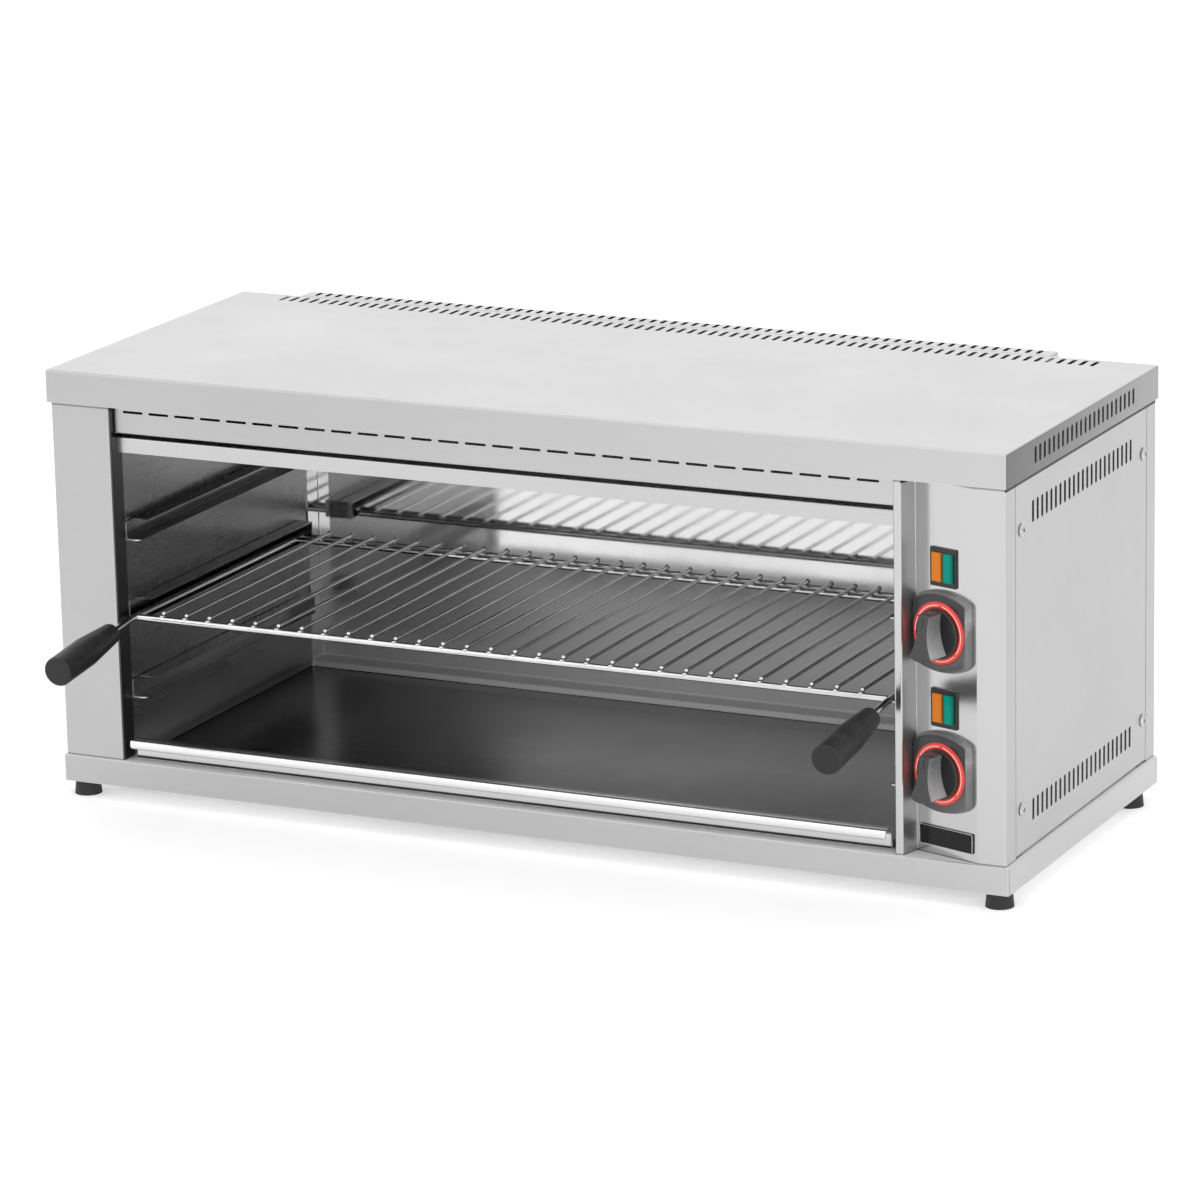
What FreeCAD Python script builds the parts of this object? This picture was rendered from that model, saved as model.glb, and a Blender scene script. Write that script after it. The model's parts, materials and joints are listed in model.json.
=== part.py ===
import FreeCAD, Part
import math
import os
import Sketcher

# Salamander grill: a free-standing electric grill with top heat, a sliding wire rack and a
# crumb tray. Millimetres. +X is to the right seen from the front, +Y is to the rear, +Z is up.
# The origin lies on the floor under the middle of the whole outline.

DIMENSIONS = {
    # Outline of the cabinet; the X centre is that of the lid, Y starts at the lid's front.
    "lid_width": 960.0,
    "lid_depth": 378.0,
    "cabinet_height": 399.0,
    "foot_height": 15.0,
    # Sheets, bends and fits.
    "skin_sheet": 1.2,
    "liner_sheet": 1.0,
    "bend_radius": 0.6,
    "edge_radius": 2.0,
    "seat_gap": 0.3,
    "fit_gap": 0.05,
    # Lid and base.
    "lid_skirt": 31.0,
    "base_skirt": 26.0,
    "base_setback": 3.0,
    "base_lip": 30.0,
    # Vent slots of the lid and of the side panels.
    "vent_pitch": 11.0,
    "lid_vent_side": 54.5,
    "lid_vent_width": 4.5,
    "lid_vent_length": 20.0,
    "lid_vent_margin": 7.0,
    "side_vent_inset": 39.5,
    "side_vent_width": 5.0,
    "side_vent_length": 21.0,
    "side_vent_drop": 76.5,
    "side_vent_lower": 51.0,
    "skirt_vent_length": 15.5,
    "skirt_vent_drop": 23.0,
    # Front posts.
    "post_setback": 4.5,
    "post_inset": 2.5,
    "post_side": 22.5,
    "post_return": 19.5,
    "post_flange": 18.0,
    # Control panel: a flat strip beside the chamber, a recess and the slanted panel.
    "panel_strip": 7.5,
    "panel_angle": 16.5,
    "recess_depth": 20.05,
    # Chamber between the posts.
    "left_post_width": 65.5,
    "right_post_width": 108.0,
    "liner_front": 8.0,
    "liner_flange": 12.0,
    # Rear posts and rear duct.
    "rear_setback": 1.2,
    "rear_post_side": 23.8,
    "rear_flange": 18.0,
    "duct_depth": 22.0,
    "duct_flange": 15.3,
    "duct_vent_side": 12.5,
    "duct_vent_length": 14.0,
    "duct_vent_offset": 5.0,
    "duct_screw_low": 60.0,
    "duct_screw_drop": 79.0,
    # Side panels and their screws.
    "side_panel_bottom": 28.5,
    "side_panel_drop": 32.5,
    "side_panel_flange": 11.0,
    "side_screw_inset": 14.0,
    "side_screw_rear": 9.7,
    "side_screw_low": 69.0,
    "side_screw_drop": 76.5,
    "screw_head": 6.0,
    "screw_rim": 0.8,
    "screw_dome": 2.2,
    "screw_radius": 2.0,
    "screw_length": 10.0,
    "cross_length": 7.0,
    "cross_width": 1.3,
    "cross_depth": 1.6,
    # Front strip under the lid and the hood under it.
    "fascia_front": 11.3,
    "fascia_drop": 57.5,
    "fascia_flange": 8.0,
    "fascia_top_flange": 16.0,
    "fascia_slot_pitch": 27.4,
    "fascia_slot_length": 21.3,
    "fascia_slot_height": 2.5,
    "fascia_slot_drop": 36.7,
    "fascia_slot_margin": 10.1,
    "hood_front": 15.0,
    "hood_low_drop": 76.5,
    "hood_top_drop": 62.2,
    "hood_rear_gap": 8.0,
    "hood_end_start": 26.0,
    # Heating elements.
    "element_radius": 4.2,
    "element_drop": 83.0,
    "element_bend": 30.0,
    "element_front": 95.0,
    "element_pitch": 130.0,
    "element_left_gap": 45.0,
    "element_wall_reach": 18.8,
    "hanger_inset": 115.25,
    "hanger_foot": 12.0,
    "bushing_radius": 6.5,
    "bushing_flange": 8.5,
    "bushing_rim": 1.5,
    "terminal_radius": 5.0,
    "terminal_length": 10.0,
    "pin_radius": 1.5,
    "pin_length": 11.0,
    # Rack guides: three channels on each side.
    "guide_depth": 16.5,
    "guide_height": 17.5,
    "guide_front": 24.5,
    "guide_upper_front": 40.0,
    "guide_rear_gap": 21.0,
    "guide_low": 82.5,
    "guide_pitch": 76.5,
    "guide_corner": 8.0,
    # Rack.
    "bar_radius": 3.0,
    "wire_radius": 1.75,
    "wire_count": 30.0,
    "wire_side": 28.25,
    "wire_front": 21.4,
    "rack_rear_gap": 25.0,
    "rack_side_gap": 9.75,
    "rack_front_bar": 20.0,
    "rack_rear_bar_inset": 21.0,
    "rack_end_bar_inset": 6.0,
    "handle_bend": 10.0,
    "handle_tilt": 7.0,
    "handle_neck": 35.3,
    "grip_length": 101.0,
    "grip_radius": 14.0,
    "grip_neck_radius": 9.8,
    "grip_straight": 52.0,
    "grip_edge": 3.0,
    "grip_rod_depth": 92.0,
    # Crumb tray.
    "tray_side_gap": 8.25,
    "tray_front": 15.0,
    "tray_rear_gap": 20.0,
    "tray_rim": 7.2,
    "tray_front_rim": 19.7,
    "tray_corner": 4.0,
    "tray_lip_top": 47.0,
    "tray_lip_reach": 13.0,
    "tray_lip_drop": 9.0,
    "tray_lip_return": 5.0,
    "tray_lip_round": 3.5,
    # Controls on the slanted panel; places are measured from its right bend.
    "control_place": 35.5,
    "knob_upper_level": 232.0,
    "knob_lower_level": 104.0,
    "pilot_upper_level": 289.7,
    "pilot_lower_level": 162.0,
    "bezel_width": 61.5,
    "bezel_height": 75.0,
    "bezel_depth": 8.0,
    "bezel_arc": 60.0,
    "bezel_corner": 5.0,
    "bezel_edge": 1.2,
    "ring_outer": 28.4,
    "ring_inner": 21.5,
    "ring_thickness": 0.8,
    "knob_gap": 0.4,
    "knob_radius": 22.8,
    "knob_skirt": 3.5,
    "wing_base_depth": 27.0,
    "wing_tip_depth": 20.0,
    "wing_base_reach": 20.0,
    "wing_tip_reach": 20.0,
    "wing_waist": 5.6,
    "wing_waist_shift": 9.0,
    "wing_flank": 52.7,
    "wing_edge": 1.6,
    "knob_pointer": 8.0,
    "pointer_width": 1.4,
    "shaft_radius": 3.0,
    "shaft_flat": 2.2,
    "shaft_inside": 20.0,
    "shaft_reach": 24.0,
    "bush_radius": 5.0,
    "bush_length": 7.0,
    "panel_hole": 5.4,
    "regulator_width": 34.0,
    "regulator_height": 44.0,
    "regulator_depth": 32.0,
    "regulator_tab": 6.3,
    "pilot_width": 29.0,
    "pilot_height": 35.0,
    "pilot_rim": 2.0,
    "pilot_body_width": 26.0,
    "pilot_body_height": 31.0,
    "pilot_body_depth": 22.0,
    "lens_width": 10.5,
    "lens_height": 26.0,
    "lens_pitch": 12.5,
    "lens_proud": 2.3,
    "lens_seat": 6.0,
    "lens_edge": 1.0,
    "badge_place": 34.0,
    "badge_level": 43.3,
    "badge_width": 60.0,
    "badge_height": 18.5,
    "badge_thickness": 1.6,
    "badge_rim": 0.9,
    "badge_recess": 0.4,
    "badge_corner": 1.5,
    # Terminals and cable gland.
    "block_inset": 52.0,
    "block_rear_gap": 58.0,
    "block_width": 24.0,
    "block_length": 62.0,
    "block_height": 20.0,
    "block_poles": 5.0,
    "gland_inset": 48.0,
    "gland_level": 66.0,
    "gland_radius": 10.0,
    "gland_bore": 5.5,
    "gland_length": 34.0,
    "gland_nut": 12.5,
    # Feet.
    "foot_radius": 13.0,
    "foot_top_radius": 11.5,
    "foot_inset": 15.0,
    "foot_front": 20.0,
    "foot_rear_gap": 32.0,
    "foot_recess": 7.0,
    "foot_recess_depth": 8.0,
    "foot_screw_radius": 2.5,
    "foot_screw_head": 4.6,
    "foot_screw_head_height": 3.5,
    "foot_screw_rise": 6.0,
}

Vector = FreeCAD.Vector


class Size:
    """A number that keeps its spreadsheet expression beside its value."""

    def __init__(self, value, text=None):
        self.value = float(value)
        self.text = text

    def written(self):
        if self.text is not None:
            return self.text
        if self.value < 0.0:
            return "(%.6f)" % self.value
        return "%.6f" % self.value

    def __add__(self, other):
        other = size(other)
        if self.text is None and other.text is None:
            return Size(self.value + other.value)
        if self.text is None and self.value == 0.0:
            return other
        if other.text is None and other.value == 0.0:
            return self
        return Size(self.value + other.value, "(%s + %s)" % (self.written(), other.written()))

    def __mul__(self, other):
        other = size(other)
        if self.text is None and other.text is None:
            return Size(self.value * other.value)
        for plain, bound in ((self, other), (other, self)):
            if plain.text is None and plain.value == 0.0:
                return Size(0.0)
            if plain.text is None and plain.value == 1.0:
                return bound
        return Size(self.value * other.value, "(%s * %s)" % (self.written(), other.written()))

    def __truediv__(self, other):
        other = size(other)
        if self.text is None and other.text is None:
            return Size(self.value / other.value)
        return Size(self.value / other.value, "(%s / %s)" % (self.written(), other.written()))

    def __neg__(self):
        return self * -1.0

    def __sub__(self, other):
        return self + (-size(other))

    def __radd__(self, other):
        return size(other) + self

    def __rsub__(self, other):
        return size(other) - self

    def __rmul__(self, other):
        return size(other) * self


def size(number):
    return number if isinstance(number, Size) else Size(number)


def trig(name, angle):
    """Sine, cosine or tangent of an angle in degrees."""
    angle = size(angle)
    value = getattr(math, name)(math.radians(angle.value))
    return Size(value, "%s(%s)" % (name, angle.written()))


def whole(number):
    """The number of whole steps in a length over a pitch."""
    return Size(math.floor(number.value), "floor(%s)" % number.written())


class Dimensions:
    """Reads each driving dimension by its name."""

    def __getattr__(self, name):
        return Size(DIMENSIONS[name], "Dims." + name)


doc = FreeCAD.newDocument("SalamanderGrill")
sheet = doc.addObject("Spreadsheet::Sheet", "Dims")
for row, (alias, number) in enumerate(DIMENSIONS.items(), 1):
    sheet.set("A%d" % row, alias)
    sheet.set("B%d" % row, str(number))
    sheet.setAlias("B%d" % row, alias)
d = Dimensions()


def derived(name, number):
    """A size that follows from others; it has its own cell in the sheet."""
    row = len(DIMENSIONS) + len(derived_names) + 1
    derived_names.append(name)
    sheet.set("A%d" % row, name)
    sheet.set("B%d" % row, "=" + number.written().replace("Dims.", ""))
    sheet.setAlias("B%d" % row, name)
    return Size(number.value, "Dims." + name)


derived_names = []

# Helpers for plain solids. A span is a (from, to) pair along one axis.

TURN_TO_AXIS = {
    "x": FreeCAD.Rotation(Vector(0, 1, 0), 90),
    "y": FreeCAD.Rotation(Vector(1, 0, 0), -90),
    "z": FreeCAD.Rotation(),
}
corners = {}


def bind(item, name, number):
    item.setExpression(name, size(number).written())


def stand_at(item, x, y, z):
    corners[item.Name] = (size(x), size(y), size(z))
    bind(item, "Placement.Base.x", x)
    bind(item, "Placement.Base.y", y)
    bind(item, "Placement.Base.z", z)


def block(name, x, y, z):
    item = doc.addObject("Part::Box", name)
    bind(item, "Length", x[1] - x[0])
    bind(item, "Width", y[1] - y[0])
    bind(item, "Height", z[1] - z[0])
    stand_at(item, x[0], y[0], z[0])
    return item


def rod(name, axis, start, length, radius):
    item = doc.addObject("Part::Cylinder", name)
    bind(item, "Radius", radius)
    bind(item, "Height", length)
    item.Placement = FreeCAD.Placement(Vector(), TURN_TO_AXIS[axis])
    stand_at(item, start[0], start[1], start[2])
    return item


def ball(name, centre, radius):
    item = doc.addObject("Part::Sphere", name)
    bind(item, "Radius", radius)
    stand_at(item, centre[0], centre[1], centre[2])
    return item


def fused(name, *items):
    item = doc.addObject("Part::MultiFuse", name)
    item.Shapes = list(items)
    item.Refine = True
    return item


def less(name, item, *tools):
    result = doc.addObject("Part::Cut", name)
    result.Base = item
    result.Tool = tools[0] if len(tools) == 1 else fused(name + "_tools", *tools)
    result.Refine = True
    return result


def group(name, items):
    item = doc.addObject("Part::Compound", name)
    item.Links = list(items)
    return item


# Helpers for bodies. A body's outline is drawn on the plane across one axis: (y, z) pairs
# for "x", (x, z) pairs for "y" and (x, y) pairs for "z".

PLANE_ACROSS = {"x": "YZ_Plane", "y": "XZ_Plane", "z": "XY_Plane"}
IN_PLANE = {"x": (1, 2), "y": (0, 2), "z": (0, 1)}


def new_body(name):
    return doc.addObject("PartDesign::Body", name)


def sketch_on(body, across, height):
    sketch = body.newObject("Sketcher::SketchObject", body.Name + "_sketch")
    for feature in body.Origin.OriginFeatures:
        if feature.Role == PLANE_ACROSS[across]:
            sketch.AttachmentSupport = [(feature, "")]
    sketch.MapMode = "FlatFace"
    # The plane across Y looks to -Y.
    bind(sketch, "AttachmentOffset.Base.z", -size(height) if across == "y" else height)
    return sketch


def hold_point(sketch, line, end, point):
    for kind, number in (("DistanceX", point[0]), ("DistanceY", point[1])):
        number = size(number)
        index = sketch.addConstraint(Sketcher.Constraint(kind, -1, 1, line, end, number.value))
        if number.text is not None:
            sketch.setExpression("Constraints[%d]" % index, number.text)


def draw_polygon(sketch, points):
    points = [(size(u), size(v)) for u, v in points]
    count = len(points)
    flat = [Vector(u.value, v.value, 0) for u, v in points]
    first = sketch.GeometryCount
    for index in range(count):
        sketch.addGeometry(Part.LineSegment(flat[index], flat[(index + 1) % count]), False)
    for index in range(count):
        after = first + (index + 1) % count
        sketch.addConstraint(Sketcher.Constraint("Coincident", first + index, 2, after, 1))
        hold_point(sketch, first + index, 1, points[index])


def draw_slot(sketch, start, end, radius):
    """A slot with round ends, centred on the line from start to end along either axis."""
    start = (size(start[0]), size(start[1]))
    end = (size(end[0]), size(end[1]))
    a = Vector(start[0].value, start[1].value, 0)
    b = Vector(end[0].value, end[1].value, 0)
    r = size(radius).value
    along = (b - a).normalize()
    side = Vector(-along.y, along.x, 0) * r
    turn = math.atan2(along.y, along.x)
    up = Vector(0, 0, 1)
    quarter = math.pi / 2
    first = sketch.addGeometry(
        Part.ArcOfCircle(Part.Circle(a, up, r), turn + quarter, turn + 3 * quarter), False)
    second = sketch.addGeometry(
        Part.ArcOfCircle(Part.Circle(b, up, r), turn - quarter, turn + quarter), False)
    low = sketch.addGeometry(Part.LineSegment(a - side, b - side), False)
    high = sketch.addGeometry(Part.LineSegment(b + side, a + side), False)
    sketch.addConstraint(Sketcher.Constraint("Tangent", first, 2, low, 1))
    sketch.addConstraint(Sketcher.Constraint("Tangent", low, 2, second, 1))
    sketch.addConstraint(Sketcher.Constraint("Tangent", second, 2, high, 1))
    sketch.addConstraint(Sketcher.Constraint("Tangent", high, 2, first, 1))
    sketch.addConstraint(Sketcher.Constraint("Equal", first, second))
    hold_point(sketch, first, 3, start)
    hold_point(sketch, second, 3, end)
    index = sketch.addConstraint(Sketcher.Constraint("Radius", first, r))
    if size(radius).text is not None:
        sketch.setExpression("Constraints[%d]" % index, size(radius).text)


def extrude(body, across, points, span):
    sketch = sketch_on(body, across, span[1] if across == "y" else span[0])
    draw_polygon(sketch, points)
    feature = body.newObject("PartDesign::Pad", body.Name + "_pad")
    feature.Profile = sketch
    bind(feature, "Length", size(span[1]) - span[0])
    body.Tip = feature
    doc.recompute()
    return feature


def rectangle(u, v):
    return [(u[0], v[0]), (u[1], v[0]), (u[1], v[1]), (u[0], v[1])]


def hollow(body, across, points, span):
    """Cuts a straight-sided opening over the span."""
    sketch = sketch_on(body, across, span[0] if across == "y" else span[1])
    draw_polygon(sketch, points)
    feature = body.newObject("PartDesign::Pocket", body.Name + "_opening")
    feature.Profile = sketch
    bind(feature, "Length", size(span[1]) - span[0])
    before = body.Shape.Volume
    body.Tip = feature
    doc.recompute()
    if before - body.Shape.Volume < 1e-3:
        raise RuntimeError(body.Name + ": the opening cuts nothing")
    return feature


def slot_row(body, across, start, end, width, span, count, pitch):
    """A row of slots cut over the span, stepping along the sketch's first axis."""
    sketch = sketch_on(body, across, span[0] if across == "y" else span[1])
    draw_slot(sketch, start, end, size(width) / 2.0)
    slot = body.newObject("PartDesign::Pocket", body.Name + "_slot")
    slot.Profile = sketch
    bind(slot, "Length", size(span[1]) - span[0])
    before = body.Shape.Volume
    body.Tip = slot
    doc.recompute()
    if before - body.Shape.Volume < 1e-3:
        raise RuntimeError(body.Name + ": the slot cuts nothing")
    row_of = body.newObject("PartDesign::LinearPattern", body.Name + "_row")
    row_of.Originals = [slot]
    row_of.Direction = (sketch, ["H_Axis"])
    row_of.Mode = "Spacing"
    bind(row_of, "Offset", pitch)
    bind(row_of, "Occurrences", count)
    body.Tip = row_of
    doc.recompute()
    return row_of


def edges_through(shape, points):
    names = []
    for point in points:
        for index, edge in enumerate(shape.Edges, 1):
            if edge.distToShape(Part.Vertex(point))[0] < 1e-4:
                names.append("Edge%d" % index)
    return sorted(set(names))


def rounded(body, points, radius):
    """Rounds the edges that pass through the points."""
    base = body.Tip
    names = edges_through(base.Shape, points)
    if not names:
        raise RuntimeError(body.Name + ": no edge to round")
    feature = body.newObject("PartDesign::Fillet", body.Name + "_round")
    feature.Base = (base, names)
    bind(feature, "Radius", radius)
    body.Tip = feature
    doc.recompute()
    if feature.Shape.isNull() or not feature.Shape.isValid():
        raise RuntimeError(body.Name + ": the edges could not be rounded")
    return feature


def spot(across, pair, height):
    """The point in space of a sketch point at a height along the extrusion."""
    place = [0.0, 0.0, 0.0]
    first, second = IN_PLANE[across]
    place[first] = size(pair[0]).value
    place[second] = size(pair[1]).value
    place["xyz".index(across)] = size(height).value
    return Vector(place[0], place[1], place[2])


def heading(start, end):
    """Unit direction from start to end, which differ along one axis only."""
    du = end[0].value - start[0].value
    dv = end[1].value - start[1].value
    if abs(dv) < 1e-6:
        return (Size(math.copysign(1.0, du)), Size(0.0))
    if abs(du) < 1e-6:
        return (Size(0.0), Size(math.copysign(1.0, dv)))
    raise RuntimeError("a slanting run needs its direction")


def folded(body, across, path, thickness, side, span, slants=None, bends=None):
    """A folded sheet: the path is its outer face, the side is +1 for material to the left.

    slants gives the unit direction of slanting runs by index, bends gives the inner
    radius of single bends by index.
    """
    slants = slants or {}
    bends = bends or {}
    path = [(size(u), size(v)) for u, v in path]
    normals = []
    for index in range(len(path) - 1):
        du, dv = slants.get(index) or heading(path[index], path[index + 1])
        normals.append((-dv * side, du * side))
    inner = []
    for index, (u, v) in enumerate(path):
        first = normals[max(index - 1, 0)]
        second = normals[min(index, len(normals) - 1)]
        if index in (0, len(path) - 1):
            inner.append((u + first[0] * thickness, v + first[1] * thickness))
            continue
        reach = thickness / (1.0 + first[0] * second[0] + first[1] * second[1])
        inner.append((u + (first[0] + second[0]) * reach, v + (first[1] + second[1]) * reach))
    extrude(body, across, path + inner[::-1], span)
    middle = (size(span[0]) + span[1]) / 2.0
    # The insides of the bends come first: the outside of a wide bend would cut through them.
    tight_rounds = {}
    wide_rounds = {}
    for index in range(1, len(path) - 1):
        tight = bends.get(index, d.bend_radius)
        if tight is None:
            continue
        first, second = normals[index - 1], normals[index]
        turn = first[0].value * second[1].value - first[1].value * second[0].value
        # The path is the outside of a bend that turns towards the material.
        far, near = path[index], inner[index]
        if turn * side < 0.0:
            far, near = near, far
        for rounds, point, radius in ((tight_rounds, near, tight),
                                      (wide_rounds, far, tight + thickness)):
            entry = rounds.setdefault(radius.written(), (radius, []))
            entry[1].append(spot(across, point, middle))
    for rounds in (tight_rounds, wide_rounds):
        for radius, points in rounds.values():
            rounded(body, points, radius)


def shelled(body, point, thickness):
    """Hollows the body from the flat face at the point; the outside keeps its size."""
    base = body.Tip
    names = []
    for index, face in enumerate(base.Shape.Faces, 1):
        if face.distToShape(Part.Vertex(point))[0] < 1e-4:
            names.append("Face%d" % index)
    feature = body.newObject("PartDesign::Thickness", body.Name + "_shell")
    feature.Base = (base, names)
    feature.Reversed = True
    bind(feature, "Value", thickness)
    body.Tip = feature
    doc.recompute()


def bores(body, across, centres, radius, span):
    """Round holes over the span."""
    sketch = sketch_on(body, across, span[0] if across == "y" else span[1])
    radius = size(radius)
    for u, v in centres:
        u, v = size(u), size(v)
        circle = Part.Circle(Vector(u.value, v.value, 0), Vector(0, 0, 1), radius.value)
        index = sketch.addGeometry(circle, False)
        hold_point(sketch, index, 3, (u, v))
        limit = sketch.addConstraint(Sketcher.Constraint("Radius", index, radius.value))
        sketch.setExpression("Constraints[%d]" % limit, radius.written())
    feature = body.newObject("PartDesign::Pocket", body.Name + "_bores")
    feature.Profile = sketch
    bind(feature, "Length", size(span[1]) - span[0])
    before = body.Shape.Volume
    body.Tip = feature
    doc.recompute()
    if before - body.Shape.Volume < 1e-3:
        raise RuntimeError(body.Name + ": the holes cut nothing")


def disc(body, centre, radius, span):
    """Adds a round plate across Z."""
    sketch = sketch_on(body, "z", span[0])
    radius = size(radius)
    u, v = size(centre[0]), size(centre[1])
    circle = Part.Circle(Vector(u.value, v.value, 0), Vector(0, 0, 1), radius.value)
    index = sketch.addGeometry(circle, False)
    hold_point(sketch, index, 3, (u, v))
    limit = sketch.addConstraint(Sketcher.Constraint("Radius", index, radius.value))
    sketch.setExpression("Constraints[%d]" % limit, radius.written())
    feature = body.newObject("PartDesign::Pad", body.Name + "_disc")
    feature.Profile = sketch
    bind(feature, "Length", size(span[1]) - span[0])
    body.Tip = feature
    doc.recompute()


# Places shared by several pieces.

HANDS = {"left": -1.0, "right": 1.0}


def level(height):
    """A height over the underside of the base, as a height over the floor."""
    return d.foot_height + height


def below_lid(drop):
    """A height over the floor that hangs from the top of the lid."""
    return lid_top - drop


lid_side = derived("lid_side", d.lid_width / 2.0)
base_top = derived("base_top", level(d.base_skirt))
lid_top = derived("lid_top", level(d.cabinet_height))
lid_under = derived("lid_under", lid_top - d.skin_sheet)
# The lid's inside corner is round, so sheets at its rear skirt end below that round.
sheet_top = derived("sheet_top", lid_under - (d.edge_radius - d.skin_sheet))
skirt_low = derived("skirt_low", lid_top - d.lid_skirt)
post_x = derived("post_x", lid_side - d.post_inset)
flange_x = derived("flange_x", post_x - d.skin_sheet)
post_side_end = derived("post_side_end", d.post_setback + d.post_side)
post_flange_end = derived("post_flange_end", post_side_end + d.post_flange)
chamber_side = {
    "left": derived("chamber_left", d.left_post_width - lid_side),
    "right": derived("chamber_right", lid_side - d.right_post_width),
}
chamber_width = derived("chamber_width", chamber_side["right"] - chamber_side["left"])
chamber_middle = derived("chamber_middle", (chamber_side["right"] + chamber_side["left"]) / 2.0)
# The liner walls lap behind the returns of the posts.
liner_side = {
    "left": derived("liner_left", chamber_side["left"] - d.skin_sheet),
    "right": derived("liner_right", chamber_side["right"] + d.skin_sheet),
}
rear_skin = derived("rear_skin", d.lid_depth - d.rear_setback)
duct_rear = derived("duct_rear", d.lid_depth + d.duct_depth)
rear_post_front = derived("rear_post_front", rear_skin - d.rear_post_side)
rear_flange_front = derived("rear_flange_front", rear_post_front - d.rear_flange)
bend_x = derived("bend_x", chamber_side["right"] + d.panel_strip
                 + d.recess_depth / trig("sin", d.panel_angle))

handle_run = d.handle_neck + d.grip_length
grip_front = derived("grip_front", d.handle_bend - (
    (handle_run - d.grip_edge) * trig("cos", d.handle_tilt)
    + (d.grip_radius - d.grip_edge) * trig("sin", d.handle_tilt)
    + d.grip_edge))
middle_y = derived("middle_y", (grip_front + duct_rear) / 2.0)

# Rows of slots: as many whole steps as their sheets have room for.
lid_vent_room = (lid_side - d.lid_vent_side) * 2.0
lid_vent_steps = derived("lid_vent_steps", whole(lid_vent_room / d.vent_pitch))
side_vent_room = rear_post_front - post_side_end - d.side_vent_inset * 2.0
side_vent_steps = derived("side_vent_steps", whole(side_vent_room / d.vent_pitch))
side_vent_first = derived("side_vent_first", (rear_post_front + post_side_end) / 2.0
                          - side_vent_steps * d.vent_pitch / 2.0)
duct_vent_room = liner_side["right"] - liner_side["left"] - d.duct_vent_side * 2.0
duct_vent_steps = derived("duct_vent_steps", whole(duct_vent_room / d.vent_pitch))
slot_room = chamber_width - d.fascia_slot_margin * 2.0 - d.fascia_slot_length
fascia_slot_steps = derived("fascia_slot_steps", whole(slot_room / d.fascia_slot_pitch))
doc.recompute()

nodes = []


def node(item, label):
    """Names a finished piece and moves it into the part's frame."""
    item.Label = label
    y = corners[item.Name][1] if item.Name in corners else Size(0.0)
    bind(item, "Placement.Base.y", y - middle_y)
    nodes.append(item)


def set_on_panel(item, y):
    """Local X runs along the slanted panel, Y up and Z out of it."""
    item.setExpression("Placement", (
        "placement(vector(%s; %s; 0); rotation(vector(0; 0; 1); -%s)"
        " * rotation(vector(1; 0; 0); 90))"
        % (bend_x.written(), size(y).written(), d.panel_angle.written())))


def node_on_panel(item, label):
    item.Label = label
    set_on_panel(item, d.post_setback - middle_y)
    nodes.append(item)


# Base: a folded tray turned upside down, with lips for the feet.

base = new_body("Base")
x = (-lid_side, lid_side)
y = (d.base_setback, d.lid_depth)
z = (d.foot_height, base_top)
extrude(base, "z", rectangle(x, y), z)
mid_y = (y[0].value + y[1].value) / 2.0
mid_z = (z[0].value + z[1].value) / 2.0
rounded(base, [
    Vector(x[0].value, y[0].value, mid_z), Vector(x[1].value, y[0].value, mid_z),
    Vector(x[0].value, y[1].value, mid_z), Vector(x[1].value, y[1].value, mid_z),
    Vector(0, y[0].value, z[1].value), Vector(0, y[1].value, z[1].value),
    Vector(x[0].value, mid_y, z[1].value), Vector(x[1].value, mid_y, z[1].value),
], d.edge_radius)
shelled(base, Vector(0, mid_y, z[0].value), d.skin_sheet)
inset = d.skin_sheet / 2.0
extrude(base, "z", rectangle((x[0] + inset, x[1] - inset), (y[0] + inset, y[1] - inset)),
        (z[0], z[0] + d.skin_sheet))
hollow(base, "z", rectangle((x[0] + d.base_lip, x[1] - d.base_lip),
                            (y[0] + d.base_lip, y[1] - d.base_lip)),
       (z[0], z[0] + d.skin_sheet))
foot_places = {}
for hand, sign in HANDS.items():
    foot_x = (lid_side - d.foot_inset) * sign
    foot_places["front_" + hand] = (foot_x, d.foot_front)
    foot_places["rear_" + hand] = (foot_x, d.lid_depth - d.foot_rear_gap)
bores(base, "z", foot_places.values(), d.foot_screw_radius + d.fit_gap,
      (z[0], z[0] + d.skin_sheet))
node(base, "base_pan")

# Lid: a folded cover with slots along its rear and in its side skirts.

lid = new_body("Lid")
y = (Size(0.0), d.lid_depth)
z = (skirt_low, lid_top)
extrude(lid, "z", rectangle(x, y), z)
mid_y = d.lid_depth.value / 2.0
mid_z = (z[0].value + z[1].value) / 2.0
rounded(lid, [
    Vector(x[0].value, 0, mid_z), Vector(x[1].value, 0, mid_z),
    Vector(x[0].value, y[1].value, mid_z), Vector(x[1].value, y[1].value, mid_z),
    Vector(0, 0, z[1].value), Vector(0, y[1].value, z[1].value),
    Vector(x[0].value, mid_y, z[1].value), Vector(x[1].value, mid_y, z[1].value),
], d.edge_radius)
shelled(lid, Vector(0, mid_y, z[0].value), d.skin_sheet)
vent_end = d.lid_depth - d.lid_vent_margin - d.lid_vent_width / 2.0
vent_start = vent_end - d.lid_vent_length + d.lid_vent_width
first = lid_vent_steps * d.vent_pitch / -2.0
slot_row(lid, "z", (first, vent_start), (first, vent_end), d.lid_vent_width,
         (lid_under - 1.0, lid_top + 1.0), lid_vent_steps + 1.0, d.vent_pitch)


def side_vents(body, low, length, span):
    start = low + d.side_vent_width / 2.0
    end = low + length - d.side_vent_width / 2.0
    slot_row(body, "x", (side_vent_first, start), (side_vent_first, end), d.side_vent_width,
             span, side_vent_steps + 1.0, d.vent_pitch)


skirt_vent_low = below_lid(d.skirt_vent_drop)
side_vents(lid, skirt_vent_low, d.skirt_vent_length, (post_x, lid_side + 1.0))
side_vents(lid, skirt_vent_low, d.skirt_vent_length, (-lid_side - 1.0, -post_x))
node(lid, "lid")

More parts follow.
